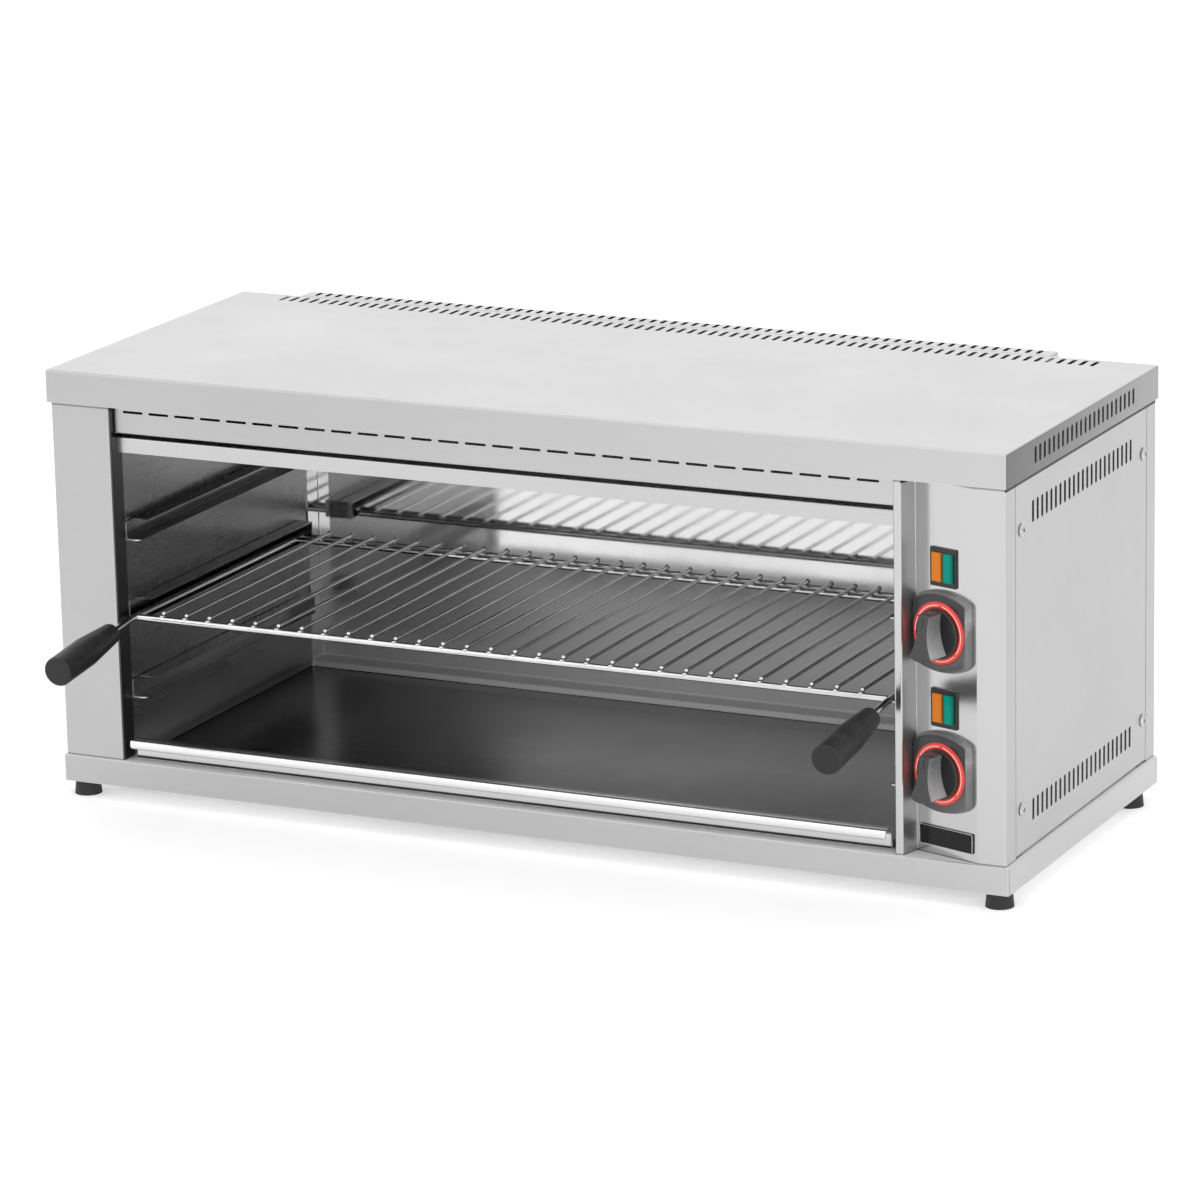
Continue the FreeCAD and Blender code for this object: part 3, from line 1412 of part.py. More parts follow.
    regulator = new_body("Regulator_" + tier)
    back = -d.skin_sheet - d.regulator_depth
    extrude(regulator, "z", rectangle(
        (centre[0] - d.regulator_width / 2.0, centre[0] + d.regulator_width / 2.0),
        (centre[1] - d.regulator_height / 2.0, centre[1] + d.regulator_height / 2.0)),
        (back, -d.skin_sheet))
    rounded(regulator, [
        Vector((centre[0] + d.regulator_width / 2.0 * a).value,
               (centre[1] + d.regulator_height / 2.0 * b).value,
               ((back - d.skin_sheet) / 2.0).value)
        for a in (-1.0, 1.0) for b in (-1.0, 1.0)], d.edge_radius)
    disc(regulator, centre, d.bush_radius, (-d.skin_sheet - 1.0, d.bush_length))
    tab = d.regulator_tab
    for row_index in (-1.5, -0.5, 0.5, 1.5):
        tab_v = centre[1] + tab * row_index * 1.5
        extrude(regulator, "z", rectangle(
            (centre[0] - tab / 2.0, centre[0] + tab / 2.0),
            (tab_v - tab / 16.0, tab_v + tab / 16.0)), (back - tab * 1.3, back + 1.0))
    bores(regulator, "z", [centre], d.shaft_radius + d.fit_gap,
          (shaft_low - d.seat_gap, d.bush_length + 1.0))
    node_on_panel(regulator, "regulator_" + tier)

    # Pilot light: a frame with two windows, each with its own lens cap.
    centre = (control_u, pilot_levels[tier])
    frame = new_body("PilotFrame_" + tier)
    extrude(frame, "z", rectangle(
        (centre[0] - d.pilot_body_width / 2.0, centre[0] + d.pilot_body_width / 2.0),
        (centre[1] - d.pilot_body_height / 2.0, centre[1] + d.pilot_body_height / 2.0)),
        (-d.pilot_body_depth, 0.5))
    extrude(frame, "z", rectangle(
        (centre[0] - d.pilot_width / 2.0, centre[0] + d.pilot_width / 2.0),
        (centre[1] - d.pilot_height / 2.0, centre[1] + d.pilot_height / 2.0)),
        (0.0, d.pilot_rim))
    rounded(frame, [
        Vector((centre[0] + d.pilot_width / 2.0 * a).value,
               (centre[1] + d.pilot_height / 2.0 * b).value, d.pilot_rim.value / 2.0)
        for a in (-1.0, 1.0) for b in (-1.0, 1.0)], d.lens_edge)
    rounded(frame, [Vector(centre[0].value, (centre[1] + d.pilot_height / 2.0).value,
                           d.pilot_rim.value)], d.lens_edge / 2.0)
    window_v = (centre[1] - d.lens_height / 2.0, centre[1] + d.lens_height / 2.0)
    windows = {}
    for colour, shift in (("amber", -0.5), ("green", 0.5)):
        middle_u = centre[0] + d.lens_pitch * shift
        windows[colour] = (middle_u - d.lens_width / 2.0, middle_u + d.lens_width / 2.0)
        span_u = (windows[colour][0] - d.fit_gap, windows[colour][1] + d.fit_gap)
        span_v = (window_v[0] - d.fit_gap, window_v[1] + d.fit_gap)
        hollow(frame, "z", rectangle(span_u, span_v), (-d.lens_seat, d.pilot_rim + 1.0))
    node_on_panel(frame, "pilot_frame_" + tier)
    for colour in windows:
        lens = new_body("Lens_%s_%s" % (colour, tier))
        lens_top = d.pilot_rim + d.lens_proud
        extrude(lens, "z", rectangle(windows[colour], window_v), (-d.lens_seat, lens_top))
        middle_u = ((windows[colour][0] + windows[colour][1]) / 2.0).value
        rounded(lens, [
            Vector(middle_u, window_v[0].value, lens_top.value),
            Vector(middle_u, window_v[1].value, lens_top.value),
            Vector(windows[colour][0].value, centre[1].value, lens_top.value),
            Vector(windows[colour][1].value, centre[1].value, lens_top.value),
        ], d.lens_edge)
        node_on_panel(lens, "%s_lens_%s" % (colour, tier))

badge = new_body("Badge")
badge_u = (-d.badge_place - d.badge_width / 2.0, -d.badge_place + d.badge_width / 2.0)
badge_v = (level(d.badge_level) - d.badge_height / 2.0, level(d.badge_level) + d.badge_height / 2.0)
extrude(badge, "z", rectangle(badge_u, badge_v), (0.0, d.badge_thickness))
rounded(badge, [Vector(u.value, v.value, d.badge_thickness.value / 2.0)
                for u in badge_u for v in badge_v], d.badge_corner)
hollow(badge, "z", rectangle((badge_u[0] + d.badge_rim, badge_u[1] - d.badge_rim),
                             (badge_v[0] + d.badge_rim, badge_v[1] - d.badge_rim)),
       (d.badge_thickness - d.badge_recess, d.badge_thickness))
node_on_panel(badge, "badge_plate")

# Mains terminals and cable gland in the right side cabinet.

block_half = d.block_length / 2.0
block_x = lid_side - d.block_inset
block_y = d.lid_depth - d.block_rear_gap
terminal_base = block("BlockBase", (block_x - d.block_width / 2.0, block_x + d.block_width / 2.0),
                      (block_y - block_half, block_y + block_half),
                      (base_top, base_top + d.block_height / 2.0))
poles = []
pole_pitch = d.block_length / d.block_poles
for index in range(int(DIMENSIONS["block_poles"])):
    start = block_y - block_half + pole_pitch * float(index)
    poles.append(block("BlockPole%d" % index,
                       (block_x - d.block_width / 3.0, block_x + d.block_width / 3.0),
                       (start + pole_pitch * 0.1, start + pole_pitch * 0.9),
                       (base_top + d.block_height / 2.0, base_top + d.block_height)))
screw_wells = [rod("BlockWell%d" % index, "z",
                   (block_x, block_y - block_half + pole_pitch * (index + 0.5),
                    base_top + d.block_height * 0.6),
                   d.block_height, pole_pitch * 0.25)
               for index in range(int(DIMENSIONS["block_poles"]))]
node(less("TerminalBlock", fused("BlockBody", terminal_base, *poles), *screw_wells),
     "terminal_block")

gland_start = rear_skin - d.skin_sheet - d.gland_nut
barrel = rod("GlandBarrel", "y", (gland_x, gland_start, gland_level), d.gland_length - d.gland_nut,
             d.gland_radius)
hexes = []
for name, start, length in (
        ("GlandNut", rear_skin - d.skin_sheet - d.gland_radius / 2.0, d.gland_radius / 2.0),
        ("GlandBody", rear_skin, d.gland_radius / 2.0),
        ("GlandCap", rear_skin + d.gland_radius * 0.6, d.gland_radius * 0.8)):
    hexagon = doc.addObject("Part::Prism", name)
    hexagon.Polygon = 6
    bind(hexagon, "Circumradius", d.gland_nut)
    bind(hexagon, "Height", length)
    hexagon.Placement = FreeCAD.Placement(Vector(), TURN_TO_AXIS["y"])
    stand_at(hexagon, gland_x, start, gland_level)
    hexes.append(hexagon)
gland_bore = rod("GlandBore", "y", (gland_x, gland_start - 1.0, gland_level),
                 d.gland_length + 2.0, d.gland_bore)
node(less("CableGland", fused("GlandSolid", barrel, *hexes), gland_bore), "cable_gland")

# Feet and their screws.

screws = []
for label, (place_x, place_y) in foot_places.items():
    cone = doc.addObject("Part::Cone", "FootCone_" + label)
    bind(cone, "Radius1", d.foot_radius)
    bind(cone, "Radius2", d.foot_top_radius)
    bind(cone, "Height", d.foot_height)
    stand_at(cone, place_x, place_y, Size(0.0))
    recess = rod("FootRecess_" + label, "z", (place_x, place_y, Size(-1.0)),
                 d.foot_recess_depth + 1.0, d.foot_recess)
    bore = rod("FootBore_" + label, "z", (place_x, place_y, Size(0.0)),
               d.foot_height + 1.0, d.foot_screw_radius + d.fit_gap)
    node(less("Foot_" + label, cone, recess, bore), "foot_" + label)
    head = rod("FootScrewHead_" + label, "z",
               (place_x, place_y, d.foot_recess_depth - d.foot_screw_head_height),
               d.foot_screw_head_height, d.foot_screw_head)
    shank = rod("FootScrewShank_" + label, "z",
                (place_x, place_y, d.foot_recess_depth - d.foot_screw_head_height / 2.0),
                d.foot_height - d.foot_recess_depth + d.foot_screw_rise + d.skin_sheet,
                d.foot_screw_radius)
    nut = doc.addObject("Part::Prism", "FootScrewNut_" + label)
    nut.Polygon = 6
    bind(nut, "Circumradius", d.foot_screw_head)
    bind(nut, "Height", d.foot_screw_head_height)
    stand_at(nut, place_x, place_y, d.foot_height + d.skin_sheet)
    screws.append(fused("FootScrew_" + label, head, shank, nut))
node(group("FootScrews", screws), "foot_screws")

doc.recompute()

# Every object must be sound before anything is written.

for item in doc.Objects:
    if "Invalid" in item.State or "Error" in item.State:
        raise RuntimeError("%s is not sound: %s" % (item.Label, item.State))
for item in nodes:
    if item.Shape.isNull() or not item.Shape.isValid():
        raise RuntimeError("%s has no valid shape" % item.Label)

os.makedirs("parts", exist_ok=True)
for item in nodes:
    item.Shape.exportStep(os.path.join("parts", item.Label + ".step"))
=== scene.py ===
import json
import math

import bmesh
import bpy
from bpy.props import FloatProperty, FloatVectorProperty, IntProperty, PointerProperty
from mathutils import Matrix, Vector


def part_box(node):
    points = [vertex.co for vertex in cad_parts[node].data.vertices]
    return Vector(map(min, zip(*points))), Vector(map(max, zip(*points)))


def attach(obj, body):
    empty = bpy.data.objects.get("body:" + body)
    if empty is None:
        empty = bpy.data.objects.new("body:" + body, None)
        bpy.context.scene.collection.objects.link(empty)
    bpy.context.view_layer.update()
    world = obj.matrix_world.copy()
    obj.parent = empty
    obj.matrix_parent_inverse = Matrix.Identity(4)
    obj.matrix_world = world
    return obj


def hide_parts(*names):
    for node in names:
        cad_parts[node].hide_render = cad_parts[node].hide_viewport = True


bl_info = {
    "name": "Salamander grill finishes",
    "version": (1, 0, 0),
    "blender": (4, 5, 0),
    "location": "View3D > Sidebar > Grill",
    "description": "Dresses the packed salamander grill with its finishes and fine pieces",
    "category": "Object",
}

# Everything is in metres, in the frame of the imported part.
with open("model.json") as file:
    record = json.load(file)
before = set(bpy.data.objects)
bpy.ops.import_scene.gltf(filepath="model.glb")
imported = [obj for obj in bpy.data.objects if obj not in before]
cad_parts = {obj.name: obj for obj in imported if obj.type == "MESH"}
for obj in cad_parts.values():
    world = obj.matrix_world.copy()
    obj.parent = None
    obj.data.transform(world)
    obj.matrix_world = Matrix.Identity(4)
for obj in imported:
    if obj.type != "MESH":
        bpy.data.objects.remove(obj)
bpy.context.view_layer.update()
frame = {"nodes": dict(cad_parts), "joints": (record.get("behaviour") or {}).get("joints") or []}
nodes = frame["nodes"]

HANDS = ("left", "right")
TIERS = ("upper", "lower")
MM = 0.001


# Values that a user would change.

class GrillColours(bpy.types.PropertyGroup):
    skin: FloatVectorProperty(
        name="Skin", description="Reflected colour of the outer sheets",
        subtype="COLOR", default=(0.505, 0.505, 0.508), min=0.0, max=1.0)
    liner: FloatVectorProperty(
        name="Liner", description="Reflected colour of the chamber's sheets",
        subtype="COLOR", default=(0.29, 0.29, 0.292), min=0.0, max=1.0)
    mirror: FloatVectorProperty(
        name="Mirror", description="Reflected colour of the chamber's rear wall",
        subtype="COLOR", default=(0.74, 0.74, 0.745), min=0.0, max=1.0)
    wire: FloatVectorProperty(
        name="Wire", description="Reflected colour of the plated rack",
        subtype="COLOR", default=(0.68, 0.68, 0.68), min=0.0, max=1.0)
    plastic: FloatVectorProperty(
        name="Plastic", description="Colour of the knobs and bezels",
        subtype="COLOR", default=(0.052, 0.052, 0.054), min=0.0, max=1.0)
    grip: FloatVectorProperty(
        name="Grip", description="Colour of the rack's grips and the feet",
        subtype="COLOR", default=(0.016, 0.016, 0.017), min=0.0, max=1.0)
    ring: FloatVectorProperty(
        name="Ring", description="Colour of the dial rings",
        subtype="COLOR", default=(0.78, 0.030, 0.018), min=0.0, max=1.0)
    ring_highlight: FloatVectorProperty(
        name="Scale line", description="Colour of the line on the dial rings",
        subtype="COLOR", default=(1.0, 0.62, 0.56), min=0.0, max=1.0)
    amber: FloatVectorProperty(
        name="Amber", description="Colour of the left pilot lenses",
        subtype="COLOR", default=(0.72, 0.210, 0.020), min=0.0, max=1.0)
    green: FloatVectorProperty(
        name="Green", description="Colour of the right pilot lenses",
        subtype="COLOR", default=(0.001, 0.250, 0.190), min=0.0, max=1.0)


class GrillDetails(bpy.types.PropertyGroup):
    skin_roughness: FloatProperty(
        name="Skin roughness", description="Roughness of the outer sheets",
        subtype="FACTOR", default=0.34, min=0.0, max=1.0)
    back_roughness: FloatProperty(
        name="Back roughness", description="Roughness of the chamber's rear wall",
        subtype="FACTOR", default=0.05, min=0.0, max=1.0)
    wire_sides: IntProperty(
        name="Wire sides", description="Faces around each wire of the rack",
        default=12, min=6, max=24)
    wire_knob: FloatProperty(
        name="Wire end", description="Radius of the rounded end of a wire",
        unit="LENGTH", default=0.0026, min=0.001, max=0.004)
    screw_cross: FloatProperty(
        name="Screw cross", description="Length of the cross in a screw's head",
        unit="LENGTH", default=0.0074, min=0.003, max=0.01)
    lens_ribs: IntProperty(
        name="Lens ribs", description="Ribs on each pilot lens",
        default=6, min=2, max=12)
    ring_crest: FloatProperty(
        name="Ring crest", description="Height of a dial ring over its bezel",
        unit="LENGTH", default=0.0014, min=0.0005, max=0.003)


class GrillStage(bpy.types.PropertyGroup):
    lens: FloatProperty(
        name="Lens", description="Focal length of the camera on a 36 mm sensor",
        subtype="DISTANCE_CAMERA", default=169.61, min=20.0, max=400.0)
    eye: FloatVectorProperty(
        name="Eye", description="Where the camera stands",
        subtype="TRANSLATION", unit="LENGTH", default=(2.2303, -4.5312, 1.5502))
    azimuth: FloatProperty(
        name="Azimuth", description="The camera's turn to the right of the front",
        subtype="ANGLE", default=math.radians(25.9743))
    elevation: FloatProperty(
        name="Elevation", description="How far down the camera looks",
        subtype="ANGLE", default=math.radians(14.9239))
    roll: FloatProperty(
        name="Roll", description="The camera's tilt about its own axis",
        subtype="ANGLE", default=math.radians(-1.225))
    floor_size: FloatProperty(
        name="Floor", description="Side of the pale floor",
        unit="LENGTH", default=60.0, min=10.0)
    sky: FloatProperty(
        name="Sky", description="Strength of the even light from all around",
        default=0.82, min=0.0, max=2.0)
    glow: FloatProperty(
        name="Floor glow", description="How much whiter the floor is shown than it is lit",
        default=0.36, min=0.0, max=1.0)


# Wiring of node trees.

class Wiring:
    """Adds nodes to a tree; a value is a number or another node's socket."""

    def __init__(self, tree):
        self.tree = tree

    def node(self, kind, *values, named=None, **settings):
        """A new node: its first inputs are fed in order, others by name."""
        made = self.tree.nodes.new(kind)
        for name, value in settings.items():
            setattr(made, name, value)
        for socket, value in zip(made.inputs, values):
            self.feed(socket, value)
        for label, value in (named or {}).items():
            self.feed(made.inputs[label], value)
        return made

    def feed(self, socket, value):
        if isinstance(value, bpy.types.NodeSocket):
            self.tree.links.new(value, socket)
        else:
            socket.default_value = value

    def math(self, operation, *values, clamp=False):
        made = self.node("ShaderNodeMath", *values, operation=operation, use_clamp=clamp)
        return made.outputs[0]

    def times(self, *values, clamp=False):
        return self.math("MULTIPLY", *values, clamp=clamp)

    def plus(self, *values):
        return self.math("ADD", *values)

    def minus(self, *values):
        return self.math("SUBTRACT", *values)

    def most(self, *values):
        return self.math("MAXIMUM", *values)

    def scaled(self, value, factor, start):
        return self.math("MULTIPLY_ADD", value, factor, start)

    def size(self, value):
        return self.math("ABSOLUTE", value)

    def over(self, value, limit):
        """One where the value is over a limit, otherwise zero."""
        return self.math("GREATER_THAN", value, limit)

    def under(self, value, limit):
        return self.math("LESS_THAN", value, limit)

    def dot(self, *values):
        made = self.node("ShaderNodeVectorMath", *values, operation="DOT_PRODUCT")
        return made.outputs["Value"]

    def mix(self, factor, first, second):
        made = self.node("ShaderNodeMix", factor, data_type="RGBA", clamp_factor=True)
        self.feed(made.inputs[6], first)
        self.feed(made.inputs[7], second)
        return made.outputs[2]

    def remap(self, value, low, high, to_low, to_high):
        return self.node("ShaderNodeMapRange", value, low, high, to_low, to_high).outputs[0]

    def noise(self, place, scale, detail=3.0, roughness=0.55):
        made = self.node("ShaderNodeTexNoise", named={
            "Vector": place, "Scale": scale, "Detail": detail, "Roughness": roughness})
        return made.outputs["Fac"]

    def split(self, vector):
        return self.node("ShaderNodeSeparateXYZ", vector).outputs

    def combine(self, *values):
        return self.node("ShaderNodeCombineXYZ", *values).outputs[0]

    def normal(self):
        return self.node("ShaderNodeNewGeometry").outputs["Normal"]


FLOAT = "NodeSocketFloat"
COUNT = "NodeSocketInt"
VECTOR = "NodeSocketVector"


def new_group(kind, name, inputs, outputs):
    """A node group with named sockets; returns its wiring, its inputs and its end node."""
    tree = bpy.data.node_groups.new(name, kind)
    for label, (socket_type, value) in inputs.items():
        socket = tree.interface.new_socket(name=label, in_out="INPUT", socket_type=socket_type)
        if value is not None:
            socket.default_value = value
    for label, socket_type in outputs.items():
        tree.interface.new_socket(name=label, in_out="OUTPUT", socket_type=socket_type)
    wiring = Wiring(tree)
    return wiring, wiring.node("NodeGroupInput").outputs, wiring.node("NodeGroupOutput").inputs


# Effects that several finishes share.

def new_effect(name, values, *results):
    """A shader group that reads a place and named numbers and puts out masks or heights."""
    inputs = {"Place": (VECTOR, None)}
    inputs.update({label: (FLOAT, value) for label, value in values.items()})
    return new_group("ShaderNodeTree", name, inputs, dict.fromkeys(results, FLOAT))


def brushed_grain():
    """Fine brushing that runs along X on the front and the top, and along Y on the sides."""
    w, given, result = new_effect("Brushed grain", {"Along": 9.0, "Across": 950.0},
                                  "Tone", "Height")
    facing = w.split(w.normal())
    place = w.split(given["Place"])
    on_side = w.over(w.size(facing["X"]), 0.75)
    on_top = w.over(w.size(facing["Z"]), 0.75)
    along = w.remap(on_side, 0.0, 1.0, place["X"], place["Y"])
    across = w.remap(on_top, 0.0, 1.0, place["Z"], place["Y"])
    flat = w.combine(w.times(along, given["Along"]), w.times(across, given["Across"]), 0.0)
    lines = w.noise(flat, 1.0, 2.0, 0.7)
    w.feed(result["Tone"], w.remap(lines, 0.3, 0.7, 0.0, 1.0))
    w.feed(result["Height"], lines)
    return w.tree


def handling_marks():
    """Soft uneven patches left by wiping and handling."""
    w, given, result = new_effect("Handling marks", {"Scale": 7.0}, "Marks")
    broad = w.noise(given["Place"], given["Scale"], 4.0, 0.6)
    fine = w.noise(given["Place"], w.times(given["Scale"], 9.0), 3.0, 0.6)
    both = w.plus(w.times(broad, 0.75), w.times(fine, 0.25))
    w.feed(result["Marks"], w.remap(both, 0.35, 0.68, 0.0, 1.0))
    return w.tree


def worn_and_highlit_edges():
    """A mask along edges and rims, broken up by noise; it places real wear and painted edge
    highlights.
    """
    w, given, result = new_effect("Worn and highlit edges", {"Width": 0.0008, "Amount": 1.0}, "Mask")
    bevel = w.node("ShaderNodeBevel", samples=4, named={"Radius": given["Width"]})
    bend = w.minus(1.0, w.dot(bevel.outputs["Normal"], w.normal()))
    broken = w.remap(w.noise(given["Place"], 260.0), 0.35, 0.65, 0.35, 1.0)
    mask = w.times(w.times(bend, 6.0), broken)
    w.feed(result["Mask"], w.times(mask, given["Amount"], clamp=True))
    return w.tree


def moulded_skin():
    """The fine uneven surface of moulded plastic and rubber."""
    w, given, result = new_effect("Moulded skin", {"Scale": 2600.0}, "Tone", "Height")
    pits = w.noise(given["Place"], given["Scale"], 2.0, 0.5)
    cloud = w.noise(given["Place"], 45.0, 3.0, 0.6)
    w.feed(result["Height"], pits)
    w.feed(result["Tone"], w.plus(w.times(pits, 0.4), w.times(cloud, 0.6)))
    return w.tree


def settled_dust():
    """Dust on faces that look up, thicker in patches."""
    w, given, result = new_effect("Settled dust", {"Amount": 0.3}, "Mask")
    up = w.split(w.normal())["Z"]
    patches = w.remap(w.noise(given["Place"], 60.0, 5.0, 0.65), 0.4, 0.75, 0.0, 1.0)
    mask = w.times(w.most(up, 0.0), patches)
    w.feed(result["Mask"], w.times(mask, given["Amount"], clamp=True))
    return w.tree


EFFECTS = {}


class Finish(Wiring):
    """A material made of one Principled shader and the shared effects."""

    def __init__(self, name, **uniform):
        self.material = bpy.data.materials.new(name)
        self.material.use_nodes = True
        super().__init__(self.material.node_tree)
        self.shader = self.tree.nodes["Principled BSDF"].inputs
        self.place = self.node("ShaderNodeTexCoord").outputs["Object"]
        for label, value in uniform.items():
            self.shader[label.replace("_", " ")].default_value = value

    def effect(self, name, **values):
        named = {"Place": self.place, **values}
        return self.node("ShaderNodeGroup", node_tree=EFFECTS[name], named=named).outputs

    def marks(self, scale):
        return self.effect("Handling marks", Scale=scale)["Marks"]

    def at(self, axis):
        """Where a point lies along an axis."""
        return self.split(self.place)[axis]

    def facing(self, axis):
        """How squarely a face looks along an axis, either way."""
        return self.size(self.split(self.normal())[axis])

    def set(self, label, value):
        self.feed(self.shader[label], value)

    def mixed(self, label, factor, value):
        """Mixes another value into what already feeds a socket of the shader."""
        before = self.shader[label].links[0].from_socket
        if label == "Base Color":
            self.set(label, self.mix(factor, before, value))
        else:
            self.set(label, self.remap(factor, 0.0, 1.0, before, value))

    def patch(self, mask, colour, roughness=None):
        """Another colour and, where it is given, another roughness within a mask."""
        self.mixed("Base Color", mask, colour)
        if roughness is not None:
            self.mixed("Roughness", mask, roughness)

    def bump(self, height, distance, strength=1.0):
        made = self.node("ShaderNodeBump", named={
            "Strength": strength, "Distance": distance, "Height": height})
        self.set("Normal", made.outputs["Normal"])


def shade(colour, factor):
    return tuple(min(channel * factor, 1.0) for channel in colour[:3]) + (1.0,)


def grey(tone):
    return (tone, tone, tone, 1.0)


def steel(name, colour, roughness, grain=0.05, haze=0.06, contrast=0.025, edge_wear_and_highlight=0.0, marks=7.0):
    """Brushed stainless steel with wiped patches; a painted highlight brightens its edges."""
    finish = Finish(name, Metallic=1.0)
    lines = finish.effect("Brushed grain")
    patches = finish.marks(marks)
    tone = finish.mix(lines["Tone"], shade(colour, 1.0 - contrast), shade(colour, 1.0 + contrast))
    tone = finish.mix(finish.times(patches, 0.35), tone, shade(colour, 0.955))
    if edge_wear_and_highlight:
        edge = finish.effect("Worn and highlit edges", Width=0.0011)["Mask"]
        # Painted highlight: the edges are mixed toward a pale grey.
        tone = finish.mix(finish.times(edge, edge_wear_and_highlight), tone, grey(0.93))
    finish.set("Base Color", tone)
    rough = finish.scaled(lines["Tone"], grain, roughness - grain / 2.0)
    finish.set("Roughness", finish.scaled(patches, haze, rough))
    finish.bump(lines["Height"], 0.000012, 0.35)
    return finish


def plastic(name, colour, roughness, scale=2600.0, depth=0.00003, edge_wear_and_highlight=0.25, dust=0.06):
    """Moulded plastic with a fine skin, rubbed edges that a painted highlight also brightens, and a
    little dust.
    """
    finish = Finish(name, Metallic=0.0)
    skin = finish.effect("Moulded skin", Scale=scale)
    edge = finish.effect("Worn and highlit edges", Width=0.0006)["Mask"]
    settled = finish.effect("Settled dust", Amount=dust)["Mask"]
    tone = finish.mix(skin["Tone"], shade(colour, 0.82), shade(colour, 1.18))
    # Wear and painted highlight: the edges are made paler.
    tone = finish.mix(finish.times(edge, edge_wear_and_highlight), tone, shade(colour, 3.2))
    finish.set("Base Color", finish.mix(settled, tone, (0.42, 0.41, 0.39, 1.0)))
    rough = finish.scaled(skin["Tone"], 0.10, roughness - 0.05)
    finish.set("Roughness", finish.scaled(settled, 0.4, rough))
    finish.bump(skin["Height"], depth, 0.5)
    return finish


# Levels that several finishes read: the top of the base, where the cabinet's sheets stand,
# and the lid's lower edge.
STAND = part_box("base_pan")[1].z
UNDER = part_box("lid")[0].z


def shadow_lines(finish, facing):
    """Thin dark lines where a sheet runs under the lid and where it stands on the base."""
    height = finish.at("Z")
    seen = finish.scaled(facing, 1.2 * MM, height)
    top = finish.remap(seen, UNDER - 3.2 * MM, UNDER - 2.7 * MM, 0.0, 1.0)
    top = finish.times(top, finish.remap(facing, 0.3, 0.9, 0.5, 0.97))
    foot = finish.remap(height, STAND + 1.4 * MM, STAND + 0.9 * MM, 0.0, 0.6)
    finish.patch(finish.most(top, foot), grey(0.02))


def paint_light_rightward(finish):
    """Painted light: the fronts are made a little paler toward the right."""
    right = finish.remap(finish.at("X"), -0.15, 0.45, 0.0, 0.165)
    front = finish.remap(finish.facing("Y"), 0.5, 0.8, 0.0, 1.0)
    finish.patch(finish.times(right, front), grey(0.92))


def make_skin(colours, details):
    """The cabinet's outer sheets; painted shade makes the left post's inner side as dark as the
    chamber.
    """
    finish = steel("Brushed steel skin", colours.skin, details.skin_roughness, edge_wear_and_highlight=0.5)
    paint_light_rightward(finish)
    inner = finish.math("COMPARE", finish.at("X"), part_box("left_column")[1].x, 1.5 * MM)
    # Painted shade on the left post's inner side.
    finish.patch(inner, shade(colours.liner, 0.30))
    shadow_lines(finish, finish.facing("X"))
    finish.patch(finish.over(finish.facing("Z"), 0.7), grey(0.85), 0.9)
    return finish


def folded_steel_with_painted_ends(name, colours, details, end, front, rear):
    """The skin of a folded sheet: painted light and shade on its ends change their tone from the
    front to the rear.
    """
    finish = steel(name, colours.skin, details.skin_roughness, edge_wear_and_highlight=0.5)
    paint_light_rightward(finish)
    ends = finish.remap(finish.facing("X"), 0.6, 0.9, 0.0, 1.0)
    depth = finish.remap(finish.at("Y"), -0.13, 0.24, front, rear)
    finish.patch(finish.times(ends, depth), shade(colours.skin, end))
    return finish


def make_lid(colours, details):
    # Painted shade: the lid's ends are darkened, most at the front.
    return folded_steel_with_painted_ends("Lid steel", colours, details, 0.22, 0.90, 0.33)


def make_base(colours, details):
    # Painted light: the base's ends are made paler.
    finish = folded_steel_with_painted_ends("Base steel", colours, details, 1.16, 0.9, 0.95)
    finish.patch(finish.over(finish.facing("Z"), 0.9), grey(0.85), 0.9)
    return finish


def make_panel(colours, details):
    """The control panel is polished, apart from the side of its recess."""
    finish = steel("Control panel steel", colours.skin, 0.17, haze=0.03, contrast=0.015, edge_wear_and_highlight=0.5)
    paint_light_rightward(finish)
    facing = finish.facing("X")
    shadow_lines(finish, facing)
    finish.mixed("Roughness", finish.remap(facing, 0.6, 0.9, 0.0, 1.0), 0.40)
    return finish


def make_liner(colours, details):
    """The chamber's side walls, paler and duller near the floor."""
    finish = steel("Chamber liner steel", colours.liner, 0.24, grain=0.03, haze=0.06,
                   contrast=0.05, marks=11.0)
    foot = finish.remap(finish.at("Z"), STAND + 15.0 * MM, STAND + 37.0 * MM, 1.0, 0.0)
    finish.patch(foot, shade(colours.liner, 1.3), 0.65)
    return finish


def make_guide(colours, details):
    """The rack's guides, like the walls but with a painted highlight on their front ends."""
    finish = steel("Guide steel", colours.liner, 0.18, grain=0.03, haze=0.06, contrast=0.05)
    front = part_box("guide_left_top")[0].y
    # Painted highlight on the guides' front ends.
    finish.patch(finish.under(finish.at("Y"), front + 2.2 * MM), grey(0.85), 0.5)
    return finish


def make_back(colours, details):
    """The rear duct: a mirror in the chamber, dull at its foot with a painted highlight along the
    bend there, and like the skin outside.
    """
    finish = steel("Rear duct steel", colours.skin, details.skin_roughness)
    chamber_middle = (-0.021, -0.1, 0.23)
    inward = finish.node("ShaderNodeVectorMath", chamber_middle, finish.place,
                         operation="SUBTRACT").outputs["Vector"]
    inside = finish.over(finish.dot(finish.normal(), inward), 0.0)
    height = finish.at("Z")
    foot = finish.remap(height, STAND + 9.0 * MM, STAND + 41.0 * MM, 1.0, 0.0)
    patches = finish.marks(9.0)
    polished = finish.scaled(patches, 0.05, details.back_roughness)
    hazed = finish.remap(height, STAND + 137.0 * MM, STAND + 49.0 * MM, polished, 0.34)
    mirror = finish.mix(patches, shade(colours.mirror, 1.0), shade(colours.mirror, 0.95))
    mirror = finish.mix(foot, mirror, shade(colours.liner, 2.2))
    # Painted highlight: a pale line along the bend at the duct's foot.
    bend = finish.math("COMPARE", height, STAND + 3.0 * MM, 0.7 * MM)
    finish.patch(inside, finish.mix(bend, mirror, grey(0.80)),
                 finish.remap(foot, 0.0, 1.0, hazed, 0.60))
    return finish


